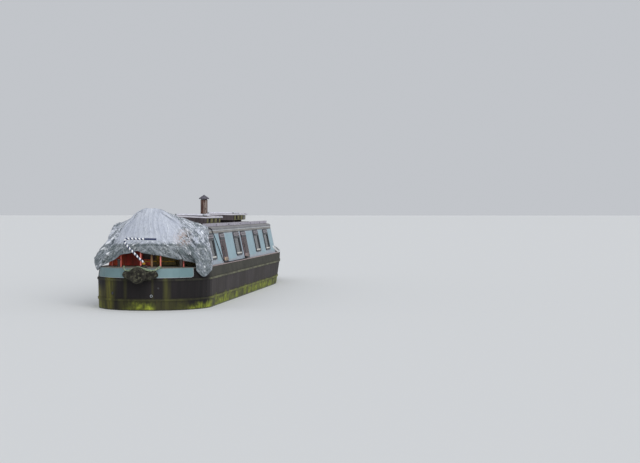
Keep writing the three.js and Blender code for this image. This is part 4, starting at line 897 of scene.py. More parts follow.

# %% [markdown]
# Crumpled foil is made of flat facets with sharp folds between them. The absolute value of
# smooth noise has such folds where the noise passes through zero, so three sizes of it, one on
# the other, make the loose sides. Long crests run from the ridge to the two aft corners, and
# soft folds fan out from the ridge over the smooth aft face. A height of each point above
# the plain sheet is kept on the mesh, so the finish can paint shade into the creases and
# highlights onto the crests.

# %% Tarpaulin
CRUMPLE_SEED = 40
noise.seed_set(CRUMPLE_SEED)  # without a seed, noise vectors start from the clock
TARP_CRESTS = [  # each crest is a line of points, in metres
    ((0.20, -5.350, 2.200), (0.42, -5.310, 2.060), (0.58, -5.265, 1.945), (0.74, -5.275, 1.800),
     (0.88, -5.300, 1.680), (0.98, -5.310, 1.520), (1.04, -5.320, 1.300)),
    ((0.62, -5.300, 1.660), (0.74, -5.360, 1.600), (0.84, -5.420, 1.480), (0.93, -5.470, 1.290),
     (0.97, -5.500, 1.120)),
    ((-0.23, -5.340, 2.190), (-0.50, -5.280, 1.960), (-0.76, -5.270, 1.700), (-0.97, -5.290, 1.460),
     (-1.04, -5.310, 1.330)),
    ((-0.60, -5.320, 1.640), (-0.74, -5.380, 1.500), (-0.90, -5.450, 1.330), (-0.95, -5.490, 1.190)),
]


def off_line(point, line):
    """Distance from a point to a chain of straight pieces."""
    best = 9.0
    for a, b in zip(line, line[1:]):
        a, b = Vector(a), Vector(b)
        t = max(0.0, min(1.0, (point - a).dot(b - a) / (b - a).length_squared))
        best = min(best, (point - a.lerp(b, t)).length)
    return best


def down_slope(point):
    """The place in a frame that is drawn out along the way the folds run, so they are long and thin."""
    along = 0.68 * abs(point.x) - 0.73 * point.z
    return Vector((along * 0.36, 0.73 * abs(point.x) + 0.68 * point.z, point.y * 0.75))


def crumple(point):
    """Sharp folds of three sizes."""
    height = 0.0
    point = down_slope(point)
    for size, amount in ((0.105, 0.42), (0.052, 0.34), (0.028, 0.24)):
        warped = point + noise.noise_vector(point / (size * 2.2)) * size * 0.5
        height += abs(noise.noise(warped / size + Vector((size * 90, 7, 3)))) * amount
    return height


def ease(value, low, high):
    """Rises smoothly from 0 at low to 1 at high."""
    t = max(0.0, min(1.0, (value - low) / (high - low)))
    return t * t * (3 - 2 * t)


TARP_HEART = Vector((0, -4.95, 1.55))
MEAN_RUMPLE = 0.22
tarp_points, tarp_creases, tarp_looseness = [], [], []
last_row, last_step = len(tarp_rows) - 1, len(tarp_rows[0]) - 1
for i, row in enumerate(tarp_rows):
    for k, here in enumerate(row):
        beside = tarp_rows[min(i + 1, last_row)][k] - tarp_rows[max(i - 1, 0)][k]
        below = row[min(k + 1, last_step)] - row[max(k - 1, 0)]
        out = beside.cross(below)
        out = out.normalized() if out.length > 1e-8 else Vector((0, 0, 1))
        if out.dot(here - TARP_HEART) < 0:
            out.negate()
        hang = k / last_step
        wide = ease(here.x, 0.72, 0.40) * ease(-here.x, 1.10, 0.80)
        smooth_face = ease(-here.y, 5.16, 5.30) * ease(hang, 0.55, 0.45) * wide
        under_rail = ease(-here.y, 5.20, 5.33) * ease(hang, 0.52, 0.58)
        loose = (1 - 0.84 * smooth_face) * (0.55 if abs(here.x) < 0.5 and under_rail > 0.5 else 1.0)
        on_roof = ease(-here.y, 4.80, 4.60) * ease(here.z, 1.90, 1.95)
        loose *= 1 - 0.75 * on_roof
        rumple = crumple(here)
        height = (rumple - MEAN_RUMPLE) * 0.070 * loose
        crest = 0.0
        for line in TARP_CRESTS:
            crest = max(crest, max(0.0, 1 - off_line(here, line) / 0.036) ** 1.3)
        height += 0.022 * crest
        turn = math.atan2(here.x, -(here.y + 5.0) + 0.05)
        sway = math.sin(turn * 17 + 2.0 * noise.noise(here * 2.5))
        fan = sway * ease(hang, 0.05, 0.30) * ease(hang, 0.52, 0.40)
        height += 0.0080 * (1 - abs(fan)) ** 2 * smooth_face
        if under_rail > 0 and here.x > -0.2:
            slanted = here.x * 0.75 + (here.z - 1.64) * 1.1
            height += 0.010 * abs(math.sin(slanted * 19)) * under_rail
        bulge = (here - Vector((-0.395, -5.41, 1.60))).length
        height += 0.045 * math.exp(-(bulge / 0.075) ** 2)
        edge_ease = min(1.0, (last_step - k) / 4 + 0.35)
        tarp_points.append(here + out * (max(height, -0.012) * edge_ease - 0.002))
        tarp_creases.append((rumple - MEAN_RUMPLE) * loose + MEAN_RUMPLE + 0.24 * crest - 0.03 * under_rail)
        tarp_looseness.append(min(1.0, max(loose * (1 - crest), 0.75 * under_rail)))
stride = last_step + 1
print("tarpaulin points", len(tarp_points))

# %% Tarpaulin finish
def tarp_finish():
    """Silver woven sheet: pale where it is taut; darker where it is loose and black in the creases, both
    painted shade, with painted highlights on the crests.
    """
    material, tree, shader = shade("silver_sheet", Metallic=0.0, Specular_IOR_Level=0.45)
    crease = wire(tree, "ShaderNodeAttribute", attribute_name="crease").outputs["Fac"]
    loose = wire(tree, "ShaderNodeAttribute", attribute_name="looseness").outputs["Fac"]
    tone = blend_ink(tree, weather(tree, "Clouds", Scale=3.0, Low=0.3, High=0.7), "#a7adbb", "#bbc0cb")
    # Coordinates drawn out down the slope, the same on both sides
    x, y, z = axes_of(tree)
    mirrored = wire(tree, "ShaderNodeCombineXYZ", [(0, off_from(tree, x, 0.0)), (1, y), (2, z)]).outputs[0]
    slope = wire(tree, "ShaderNodeMapping", [("Vector", mirrored), ("Rotation", (0, math.radians(47), 0)),
                                             ("Scale", (3.0, 1.3, 1.0))],
                 vector_type="TEXTURE").outputs[0]
    # Painted shade: dark facets on the loose sides of the sheet.
    facets = spread(tree, noisy(tree, slope, 17.0, 3.0, 0.6), 0.46, 0.54)
    tone = blend_ink(tree, times(tree, facets, spread(tree, loose, 0.15, 0.9, 0.0, 0.80)), tone, "#586268")
    # Painted shade and painted highlights: thin dark and bright fold lines on the loose cloth.
    for scale, width, painted_light_tone, most in ((21.0, 0.036, "#3a444a", 0.85), (34.0, 0.026, "#e9edf1", 0.70),
                                       (11.0, 0.016, "#2c353a", 0.80), (7.0, 0.007, "#eef1f5", 0.90)):
        off = off_from(tree, noisy(tree, slope, scale, 2.0, 0.5), 0.5)
        fold_line = times(tree, spread(tree, off, width, width * 0.3),
                       spread(tree, loose, 0.10, 0.80, 0.10, most))
        tone = blend_ink(tree, fold_line, tone, painted_light_tone)
    # Painted shade in the low creases.
    tone = blend_ink(tree, spread(tree, crease, 0.16, 0.08, 0.0, 0.6), tone, "#47525a")
    # Folds fan out over the taut aft face, each a painted highlight on its crest and painted shade on one
    # side
    turn = sums(tree, "ARCTAN2", x, sums(tree, "SUBTRACT", -4.95, y))
    wobble = times(tree, noisy(tree, place_of(tree), 2.6, 3.0), 7.0)
    phase = sums(tree, "ADD", times(tree, turn, 19.0), wobble)
    on_face = times(tree, spread(tree, z, 1.645, 1.70),
                    times(tree, spread(tree, y, -5.16, -5.26), spread(tree, loose, 0.6, 0.3)))
    on_face = times(tree, on_face, weather(tree, "Clouds", Scale=6.0, Low=0.35, High=0.6))
    for shift, width, painted_light_tone, most in ((0.0, 0.13, "#eceff3", 0.60), (0.30, 0.17, "#747e8c", 0.55)):
        ray = sums(tree, "ABSOLUTE", sums(tree, "SINE", sums(tree, "ADD", phase, shift)), 0.0)
        fold = times(tree, spread(tree, ray, width, width * 0.2, 0.0, most), on_face)
        tone = blend_ink(tree, fold, tone, painted_light_tone)
    # Below the rail the sheet hangs in the shade of its own fold
    under = times(tree, spread(tree, z, 1.650, 1.628), spread(tree, y, -5.20, -5.30))
    tone = blend_ink(tree, times(tree, under, 0.60), tone, "#434e4e")
    # Painted highlights along the crests and high creases.
    tone = blend_ink(tree, spread(tree, crease, 0.37, 0.50, 0.0, 0.75), tone, "#e9ecf1")
    grime = weather(tree, "Clouds", Scale=11.0, Low=0.58, High=0.70)
    tone = blend_ink(tree, times(tree, grime, 0.35), tone, "#6b7576")
    place = wire(tree, "ShaderNodeVectorMath", [(0, place_of(tree)), (1, (0.56, -5.30, 1.74))],
                 operation="SUBTRACT")
    near = wire(tree, "ShaderNodeVectorMath", [(0, place.outputs[0])], operation="LENGTH").outputs["Value"]
    stain = times(tree, spread(tree, near, 0.20, 0.04),
                  weather(tree, "Clouds", Scale=24.0, Low=0.42, High=0.56))
    tone = blend_ink(tree, times(tree, stain, 0.6), tone, "#8d6e58")
    tree.links.new(tone, shader.inputs["Base Color"])
    tree.links.new(spread(tree, weather(tree, "Clouds", Scale=16.0), 0.0, 1.0, 0.46, 0.62),
                   shader.inputs["Roughness"])
    coarse = bump(tree, shader, noisy(tree, place_of(tree), 40.0, 5.0, 0.65), 0.5, 0.008)
    bump(tree, shader, weather(tree, "Weave", Scale=1100.0), 0.25, 0.0006, coarse)
    return material


silver_sheet = tarp_finish()
tarp = build("tarpaulin_sheet", tarp_points, grid_faces(last_row, last_step), silver_sheet,
             slot="tarpaulin", sharp=17)
for label, values in (("crease", tarp_creases), ("looseness", tarp_looseness)):
    tarp.data.attributes.new(label, "FLOAT", "POINT").data.foreach_set("value", values)
# The two sides meet on the ridge, so their points there are made one
solid = bmesh.new()
solid.from_mesh(tarp.data)
bmesh.ops.remove_doubles(solid, verts=solid.verts, dist=0.0015)
solid.to_mesh(tarp.data)
solid.free()
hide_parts("tarpaulin")
print("tarpaulin area", round(sheet_area(tarp), 2), "m2", len(tarp.data.polygons), "faces")

# %% [markdown]
# The sheet's edge is turned over a thin rope and carries brass eyelets. Both are separate
# pieces, because the grid's last row is only a line. They take the pushed points of that row,
# so they follow every crumple of the cloth.

# %% Tarpaulin hem
hem_line, above_hem = [evenly([tarp_points[i * stride + last_step - up] for i in range(last_row + 1)], 0.012)
                       for up in (0, 1)]
hem_rope = build("tarpaulin_hem", *tube(hem_line, 0.0045, 8), silver_sheet, slot="tarpaulin")
UP = Vector((0, 0, 1))
EYELETS = 23
eyelets = []
for share in range(1, EYELETS + 1):
    index = round(share / (EYELETS + 1) * (len(above_hem) - 1))
    centre = above_hem[index].lerp(hem_line[min(index, len(hem_line) - 1)], 0.3)
    away = centre - TARP_HEART
    away.z = 0
    away.normalize()
    level = Vector((-away.y, away.x, 0))
    ring = turn_round(16, lambda a: centre + away * 0.006 + (level * math.cos(a) + UP * math.sin(a)) * 0.0085)
    eyelets.append(tube(ring, 0.0028, 6, closed=True))
eyelet_rings = build("tarpaulin_eyelets", *joined(*eyelets), window_alloy, slot="tarpaulin")
print("hem", round(route_length(hem_line), 2), "m, eyelets", len(eyelets))

# %% [markdown]
# The tiller's swan neck is painted like a barber's pole, navy on white, and its long bar is
# navy at the free end. A striped texture would swim on the bends. The tube's rings are turned a
# little each step instead, so its columns of faces run in a spiral, and half of them are navy.

# %% Swan neck
NECK_KEYS = [(0, 1.295), (-0.006, 1.330), (-0.075, 1.395), (-0.165, 1.490), (-0.262, 1.592), (-0.322, 1.668),
             (-0.322, 1.716), (-0.270, 1.742), (-0.120, 1.738), (0.040, 1.735), (0.220, 1.731)]
NECK_TURN = math.radians(-80)
STOCK = Vector((0, -5.930, 0))
STRIPE_PITCH = 0.063
neck_white = painted("neck_white", "#d6d8dc", "#e2e4e6", "#8d9196", 0.6, 0.1, 0.05, 0.4)
neck_navy = painted("neck_navy", "#1f2a4c", "#29365c", "#141a2e", 0.6, 0.1, 0.0, 0.35)


def neck_point(forward, height):
    """A place on the tiller, from its distance ahead of the stock before it is turned."""
    turned = Matrix.Rotation(NECK_TURN, 4, "Z") @ Vector((0, forward, 0))
    return STOCK + turned + Vector((0, 0, height))


NECK_GAP, NECK_SIDES, NAVY_END = 0.004, 20, 0.215
neck_route = evenly(smooth_route([neck_point(*key) for key in NECK_KEYS], 24), NECK_GAP)
neck_rings = len(neck_route) - 1
neck = tube(neck_route, lambda share: 0.0188 if share < (neck_rings - 1) / neck_rings else 0.0150, NECK_SIDES,
            twist=STRIPE_PITCH)
navy = [int(side < NECK_SIDES // 2 or (neck_rings - ring) * NECK_GAP < NAVY_END)
        for ring in range(neck_rings) for side in range(NECK_SIDES)]
swan_neck = build("swan_neck_striped", *neck, neck_white, body="steering", slot="tiller_paint", sharp=50)
swan_neck.data.materials.append(neck_navy)
swan_neck.data.polygons.foreach_set("material_index", [*navy, 0, 1])
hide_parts("swan_neck")
# A turned brass socket joins the neck to the stock, and a brass ferrule ends the painted part
fittings = []
for centre, reach, half in ((neck_point(0, 1.303), 0.031, 0.012), (neck_point(0, 1.322), 0.026, 0.008)):
    rings = [centre + UP * half * share for share in (-1, -0.6, 0.6, 1)]
    fittings.append(tube(rings, lambda share, reach=reach: reach * (0.86 if share in (0, 1) else 1), 20))
build("tiller_fittings", *joined(*fittings), brass, body="steering", slot="tiller_paint", sharp=40)
print("tiller", round(route_length(neck_route), 2), "m along its bend")

# %% [markdown]
# Rope fenders are plaited over a core, gone green with algae. The plait's bumps are real
# geometry: two sets of strands cross round the core, and at each place the higher one wins.
# One helper makes any such body from a centre line and a radius, and swells it by the plait.

# %% Fender finish and helper
fender_rope, tree, shader = shade("fender_rope", Roughness=0.95, Specular_IOR_Level=0.2)
tone = blend_ink(tree, weather(tree, "Clouds", Scale=9.0, Low=0.4, High=0.6), "#201f1c", "#34322c")
tone = blend_ink(tree, weather(tree, "Clouds", Scale=19.0, Low=0.52, High=0.62), tone, "#4e4d40")
tone = blend_ink(tree, weather(tree, "Dust", Amount=0.5, Scale=14.0), tone, "#636455")
tree.links.new(tone, shader.inputs["Base Color"])
bump(tree, shader, noisy(tree, place_of(tree), 170.0, 4.0, 0.7), 0.7, 0.004)
pale_rope = rope_finish("pale_rope", "#5f6e58", "#98a58a")


def plaited(route, radius, round_count, pitch, deep=0.10, sides=56):
    """A rope body with crossing strands. radius is a function of the share along."""
    points, faces = tube(route, radius, sides)
    count = len(route)
    lengths = [0.0]
    for a, b in zip(route, route[1:]):
        lengths.append(lengths[-1] + (b - a).length)
    for index, here in enumerate(route):
        for side in range(sides):
            angle = side * math.tau / sides
            left = math.cos(angle * round_count / 2 + lengths[index] * math.tau / pitch)
            right = math.cos(angle * round_count / 2 - lengths[index] * math.tau / pitch)
            over = math.sin(angle * round_count / 2) * math.sin(lengths[index] * math.tau / pitch)
            swell = max(left + 0.35 * over, right - 0.35 * over)
            at = index * sides + side
            points[at] = here + (points[at] - here) * (1 + deep * (swell - 0.9))
    return points, faces


def swollen(middle, end):
    """A radius that is largest half-way and rounds off at both ends."""
    return lambda share: end + (middle - end) * max(0.0, 1 - (2 * share - 1) ** 4) ** 0.5


print("fender helper ready")

# %% Stern fenders
TIPCAT_HALF = [(0.10, -6.206, 1.120), (0.20, -6.192, 1.128), (0.262, -6.172, 1.142), (0.292, -6.160, 1.160)]
tipcat_keys = [*[(-x, y, z) for x, y, z in reversed(TIPCAT_HALF)], (0, -6.212, 1.118), *TIPCAT_HALF]
tipcat_route = evenly(smooth_route(tipcat_keys, 12), 0.005)
tipcat = build("tipcat_plaited", *plaited(tipcat_route, swollen(0.092, 0.030), 12, 0.085), fender_rope,
               slot="rope_fender")
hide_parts("stern_tipcat_fender")
BUTTON_Z = 1.126
button_route = evenly([Vector((0, -6.322, BUTTON_Z)), Vector((0, -6.454, BUTTON_Z))], 0.004)


def button_radius(share):
    """Nearly flat ends and a full middle."""
    return 0.148 * max(0.02, 1 - abs(2 * share - 1) ** 3.2) ** 0.36


button = build("button_plaited", *plaited(button_route, button_radius, 18, 0.07, 0.075, 72), fender_rope,
               slot="rope_fender")
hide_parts("stern_button_fender")


def crown_ring(turn, out):
    """One wavy turn of rope on the button's round face."""
    def at(a):
        reach = max(0.010, out + 0.006 * math.sin(a * 9 + turn))
        return Vector((reach * math.cos(a), -6.450 + 0.30 * reach ** 1.8, BUTTON_Z + reach * math.sin(a)))
    return tube(turn_round(48, at), 0.0105, 8, strands=3, lay=0.05, closed=True)


crown = [crown_ring(*ring) for ring in ((0.0, 0.0), (0.9, 0.035), (1.9, 0.070), (2.9, 0.102))]
build("button_face_turns", *joined(*crown), fender_rope, slot="rope_fender")
lashings = []
for side in (-1, 1):
    for lift, drop in ((0.0, 0.0), (0.022, 0.014)):
        keys = ((0.325, -5.990, 1.238), (0.318, -6.060, 1.247 + lift), (0.300, -6.130, 1.226 + lift),
                (0.265, -6.210, 1.206 + lift - drop), (0.19, -6.270, 1.212 - drop),
                (0.10, -6.315, 1.240 - drop), (0, -6.335, 1.272 - drop))
        lashing = smooth_route([(side * x, y, z) for x, y, z in keys])
        lashings.append(tube(evenly(lashing, 0.006), 0.0085, 10, strands=3, lay=0.05, depth=0.14))
build("fender_lashings", *joined(*lashings), pale_rope, slot="rope_fender")
print("stern fenders", len(tipcat.data.polygons) + len(button.data.polygons), "faces")

# %% [markdown]
# The cabin side is painted in panels, as is usual on canal boats: a darker blue inside a pale
# border, with a fine pale line between them. Masks would blur at their edges, so each panel
# is a skin of paint less than a millimetre thick. The wide gaps between openings get a panel,
# the narrow ones stay plain.

# %% Painted panels and cornice
panel_blue = painted("panel_blue", "#84a0ab", "#8facb6", "#75888f", 0.60, 0.3, 0.05, 0.42)
cornice_buff = painted("cornice_buff", "#807d78", "#908d87", "#615e59", 0.5, 0.3, 0.1)
SIDE_ENDS = (-4.815, 3.515)
PANEL_IN, PANEL_LEAST, PANEL_CORNER = 0.062, 0.30, 0.075
LINE_STEPS = ((0.006, 0.0002), (0.006, 0.0017), (-0.001, 0.0017), (-0.001, 0.0002))
for name, side in SIDES:
    side_skins = []
    edges = [SIDE_ENDS[0], *[end for span in OPENINGS.values() for end in span], SIDE_ENDS[1]]
    for index in range(0, len(edges), 2):
        box = (edges[index] + PANEL_IN, edges[index + 1] - PANEL_IN, 1.272, 1.782)
        if box[1] - box[0] >= PANEL_LEAST:
            skin = side_slab(side, box, ((0, 0.0002), (0, 0.0010)), PANEL_CORNER)
            side_skins.append((f"side_panel_{name}_{index // 2}", skin, panel_blue))
            side_skins.append((f"coach_line_{name}_{index // 2}",
                               side_ring(side, box, LINE_STEPS, PANEL_CORNER), coach_line))
    cornice = side_slab(side, (-4.755, 3.455, 1.806, 1.841),
                        ((0, 0.0002), (0, 0.0045), (-0.003, 0.0065)), 0.006)
    # Painted shade: a dark strip just under the cornice stands for the shade of its overhang.
    shade_strip = side_slab(side, (-4.755, 3.455, 1.797, 1.803), ((0, 0.0002), (0, 0.0040)), 0.002)
    side_skins += [(f"cornice_{name}", cornice, cornice_buff), (f"drip_line_{name}", shade_strip, dark_trim)]
    for label, mesh, finish in side_skins:
        build(label, *mesh, finish, slot="cabin_paint", sharp=40)
    bead = [Vector((side * 0.8085, -4.795 + step * 0.115, 1.8505)) for step in range(73)]
    build(f"eave_bead_{name}", *tube(bead, 0.0065, 10), white_trim, slot="roof_paint")
print("painted skins on each side", len(side_skins))

# %% [markdown]
# The two side doors are maroon with a taupe panel in a dark bead and the same grey hopper as
# the windows. The vent at the foot is cream on the aft door and pinkish grey on the other. All
# of it rides on the door's own body, so it swings out with the leaf. The dark seal round the
# opening stays on the wall.

# %% Side doors
door_taupe = painted("door_taupe", "#3c2c2b", "#483735", "#2a1d1c", 0.5, 0.2, 0.0, 0.5)
VENT_FINISHES = {"2": painted("vent_cream", "#cdb192", "#dac0a2", "#94795f", 0.6, 0.2, 0.1),
                 "4": painted("vent_pinkish", "#a08a86", "#b09a95", "#75625e", 0.6, 0.2, 0.1)}
DOOR_FACE = 0.0082
SEAL_STEPS = ((0.014, 0.0002), (0.014, 0.0030), (0.001, 0.0030), (0.001, 0.0002))


def on_face(*steps):
    """Steps of a loft that are measured from the door's face."""
    return [(grow, DOOR_FACE + out) for grow, out in steps]


for number in SIDE_DOORS:
    aft, fore = OPENINGS[number]
    leaf = (aft + 0.006, fore - 0.006, 1.243, 1.789)
    inset = (aft + 0.150, fore - 0.150, 1.365, 1.625)
    vent, strip = (aft + 0.10, fore - 0.10, 1.268, 1.325), (aft + 0.03, fore - 0.03, 1.668, 1.706)
    hopper = (aft + 0.05, fore - 0.05, 1.722, 1.765)
    seal = side_ring(1, (aft, fore, 1.237, 1.795), SEAL_STEPS)
    build(f"door_seal_{number}", *seal, dark_trim, slot="cabin_paint", sharp=40)
    # Painted shade: the vent's slots are dark strips on its face, standing for the shade in the openings.
    slot_ends, slot_steps = (aft + 0.125, fore - 0.125), on_face((0, 0.0078), (0, 0.0092))
    slots = [side_slab(1, (*slot_ends, low, low + 0.0045), slot_steps, 0.002)
             for low in [1.276 + k * 0.0095 for k in range(5)]]
    grooves = [side_slab(1, (y - 0.0035, y + 0.0035, 1.380, 1.610), on_face((0, 0.0066), (0, 0.0085)), 0.002)
               for y in [inset[0] + (inset[1] - inset[0]) * share for share in (0.30, 0.70)]]
    pull_keys = ((1.47, DOOR_FACE), (1.472, 0.026), (1.485, 0.034), (1.525, 0.034), (1.538, 0.026),
                 (1.540, DOOR_FACE))
    pull = smooth_route([side_point(1, aft + 0.058, up_slope(z), out) for z, out in pull_keys], 6)
    for label, mesh, finish in (
            ("door_panel", side_slab(1, inset, on_face((0, 0), (0, 0.004), (-0.010, 0.007)), 0.012),
             door_taupe),
            ("door_bead", side_ring(1, inset, on_face((0.014, 0), (0.012, 0.006), (0.004, 0.006), (0.001, 0)),
                                    0.012), dark_trim),
            ("door_edge",
             side_ring(1, leaf, on_face((-0.0005, 0), (-0.0005, 0.002), (-0.016, 0.002), (-0.016, 0)), 0.049),
             dark_trim),
            ("door_vent", side_slab(1, vent, on_face((0, 0), (0, 0.006), (-0.004, 0.008)), 0.010),
             VENT_FINISHES[number]),
            ("door_strip", side_slab(1, strip, on_face((0, 0), (0, 0.010)), 0.006), dark_trim),
            ("door_hopper_rim",
             side_ring(1, hopper, ((0.010, DOOR_FACE), (0.010, 0.020), (0.0, 0.023), (-0.006, 0.020),
                                                      (-0.006, DOOR_FACE)), 0.021), hopper_grey),
            ("door_hopper", side_slab(1, hopper, ((-0.0055, 0.0095), (-0.0055, 0.0160)), 0.021),
             hopper_glass),
            ("door_vent_slots", joined(*slots), dark_trim),
            ("door_grooves", joined(*grooves), door_maroon),
            ("door_pull", tube(pull, 0.0045, 10), iron_black)):
        build(f"{label}_{number}", *mesh, finish, body=f"side_door_{number}", slot="red_paint", sharp=40)
print("side doors", SIDE_DOORS)

# %% [markdown]
# At the foot of each window, inside the dark frame, sits a pale sill with a few things on it.
# A small red box and a green one show behind the first window, as rough in the photo as here.

# %% Window sills and what stands on them
sill_box_red = painted("sill_box_red", "#8d2a22", "#a03c30", "#5a1c18")
sill_box_green = painted("sill_box_green", "#4f7a58", "#5f8a66", "#375440")
for name, side, number in windows:
    aft, fore = OPENINGS[number]
    ledge = side_slab(side, (aft + 0.030, fore - 0.030, 1.352, 1.378),
                      ((0, -0.0015), (0, 0.0100), (-0.004, 0.0125)), 0.012)
    build(f"window_sill_{name}_{number}", *ledge, sill_white, sharp=40, slot="window_frame")
for label, place, finish in (("red", (-4.30, -4.08, 1.600, 1.640), sill_box_red),
                             ("green", (-4.33, -4.05, 1.392, 1.450), sill_box_green)):
    thing = side_slab(1, place, ((0, -0.050), (0, -0.012), (-0.006, -0.009)), 0.010)
    build(f"sill_box_{label}", *thing, finish, sharp=40, slot="window_frame")
print("sills", len(windows))

# %% [markdown]
# The white capping is a flat bar welded on the bulwark's edge at the bow. It follows the hull,
# so each of its points is found on the hull. A flat white bar, bolted at both ends, slopes from
# the cabin side's fore corner down to the gunwale. The black bracket on the front bulkhead is a
# bent plate with a lamp holder. Short blocks with chamfered edges are enough for such parts.

# %% Bow capping and lamp bracket
def rounded_block(low, high, edge=0.003):
    """A block with chamfered edges, as points and faces."""
    solid = bmesh.new()
    bmesh.ops.create_cube(solid, size=1)
    for vert in solid.verts:
        vert.co = Vector([(a + b) / 2 + c * (b - a) for a, b, c in zip(low, high, vert.co)])
    bmesh.ops.bevel(solid, geom=solid.edges[:], offset=edge, segments=2, affect="EDGES", profile=0.6)
    solid.verts.index_update()
    points = [vert.co.copy() for vert in solid.verts]
    faces = [tuple(v.index for v in face.verts) for face in solid.faces]
    solid.free()
    return points, faces


def side_block(side, low, high, edge=0.003):
    """A block on one side of the middle. The x of low and high are distances from it."""
    near, far = sorted((side * low[0], side * high[0]))
    return rounded_block((near, *low[1:]), (far, *high[1:]), edge)


CAPPING = ((0.017, -0.004), (0.017, 0.006), (0.011, 0.010), (-0.011, 0.010), (-0.017, 0.006),
           (-0.017, -0.004))
bow_skin = solid_skin("hull_bow")
for name, side in SIDES:
    line = []
    for y in [3.56 + step * 0.0445 for step in range(56)]:
        top = 1.2197 + 0.27 * ((y - 3.5) / 2.6) ** 1.6
        place = bow_skin.ray_cast(Vector((side * 2, y, top - 0.012)), Vector((-side, 0, 0)))[0]
        if place:
            line.append(Vector((place.x - side * 0.013, y, top + 0.004)))
    capping = lofted([[point + Vector((side * dx, 0, dz)) for dx, dz in CAPPING] for point in line])
    build(f"bow_capping_{name}", *capping, white_trim, slot="rail_paint", sharp=35)
bracket = [rounded_block((0.715, 3.4995, 1.690), (0.765, 3.508, 1.760), 0.003),
           rounded_block((0.724, 3.507, 1.722), (0.812, 3.513, 1.750), 0.002),
           rounded_block((0.760, 3.507, 1.700), (0.812, 3.552, 1.724), 0.004)]
build("lamp_bracket", *joined(*bracket), iron_black, slot="cabin_paint", sharp=40)
STAY_TOP, STAY_FOOT = (0.900, 3.210, 1.388), (0.998, 3.490, 1.246)
STAY = ((-0.015, -0.006), (-0.015, 0.006), (0.015, 0.006), (0.015, -0.006))
BOLT = ((0, 0), (0.003, 0.008), (0.003, 0.010))
for name, side in SIDES:
    bar = lofted([[Vector((side * (x + out), y + along, z + out)) for out, along in STAY]
                  for x, y, z in (STAY_TOP, STAY_FOOT)])
    bolts = [tube([Vector((side * (x + out), y - back, z)) for out, back in BOLT], 0.008, 12)
             for x, y, z in ((0.914, 3.246, 1.370), (0.982, 3.440, 1.272))]
    build(f"corner_stay_{name}", *joined(bar, *bolts), stay_white, slot="cabin_paint", sharp=40)
print("bow capping, corner stays and bracket ready")

# %% [markdown]
# Two long wooden crates stand on the roof, and each carries a small solar panel. The crates
# lean a little with the roof, so their trim is drawn level and then turned with them. The lid's
# edges are pale battens. The three air slots of each starboard side get olive laths between.

# %% Crate helper and trim
def leaned(mesh, middle, top, lean):
    """Turns a mesh with the roof's slope and sets it down on its place."""
    turn = Matrix.Translation((middle, 0, top)) @ Matrix.Rotation(math.radians(lean), 4, "Y")
    return [turn @ point for point in mesh[0]], mesh[1]


olive_lath = timber("olive_lath", "#767249", "#4c4a2c", along=0.05, scale=40.0)
batten_grey = timber("batten_grey", "#cfcdd6", "#aeabb5", scale=30.0)
CRATE_HALF, CRATE_LONG, CRATE_DEEP, LID, LID_LONG, LID_OVER = 0.291, 1.300, 0.108, 0.024, 1.660, 0.014
CRATES = {"aft": (-3.530, 0.336, 2.122, 2.6), "fore": (-0.260, 0.290, 2.160, 0.8)}
LID_FOOT, SLOT_PITCH, PLANK_PITCH = -LID - CRATE_DEEP, 0.415, 0.1470
for name, (aft, middle, top, lean) in CRATES.items():
    edge, fore = CRATE_HALF + LID_OVER, aft + LID_LONG
    battens = [rounded_block((edge - 0.001, aft, -LID - 0.001), (edge + 0.006, fore, 0.001)),
               rounded_block((-edge - 0.006, aft, -LID - 0.001), (-edge + 0.001, fore, 0.001)),
               rounded_block((-edge, aft - 0.006, -LID - 0.001), (edge, aft + 0.001, 0.001)),
               rounded_block((-edge, fore - 0.001, -LID - 0.001), (edge, fore + 0.006, 0.001))]
    battens += [rounded_block((-edge + 0.004, along - 0.028, -0.001), (edge - 0.004, along + 0.028, 0.011))
                for along in (aft + 0.80, aft + 1.22, fore - 0.05)]
    laths = []
    for slot, half in enumerate((0.060, 0.115, 0.115, 0.060)):
        centre = aft + 0.365 + (slot - 0.5) * SLOT_PITCH
        laths.append(rounded_block((CRATE_HALF - 0.001, centre - half, LID_FOOT + 0.004),
                                   (CRATE_HALF + 0.007, centre + half, -LID - 0.003)))
    for rail in (LID_FOOT + 0.002, -LID - 0.010):
        laths.append(rounded_block((CRATE_HALF - 0.001, aft + 0.01, rail),
                                   (CRATE_HALF + 0.0045, aft + CRATE_LONG - 0.01, rail + 0.010), 0.001))
    centres = [aft + 0.365 + slot * SLOT_PITCH for slot in range(3)]
    # Painted shade: dark boards just inside the air slots stand for the shaded inside of the crate.
    shade_boards = [rounded_block((CRATE_HALF - 0.030, y - 0.10, LID_FOOT + 0.020),
                           (CRATE_HALF - 0.022, y + 0.10, -LID - 0.004), 0.001)
             for y in centres]
    planks = [rounded_block((low, aft + 0.0008, -0.002), (low + 0.139, fore - 0.004, 0.0035), 0.0016)
              for low in [0.012 - edge + k * PLANK_PITCH for k in range(4)]]
    for label, blocks, finish in (("battens", battens, batten_grey), ("laths", laths, olive_lath),
                                  ("linings", shade_boards, dark_trim), ("lid_planks", planks, grey_boards)):
        build(f"crate_{label}_{name}", *leaned(joined(*blocks), middle, top, lean), finish,
              slot="timber", sharp=40)
print("crates", list(CRATES))

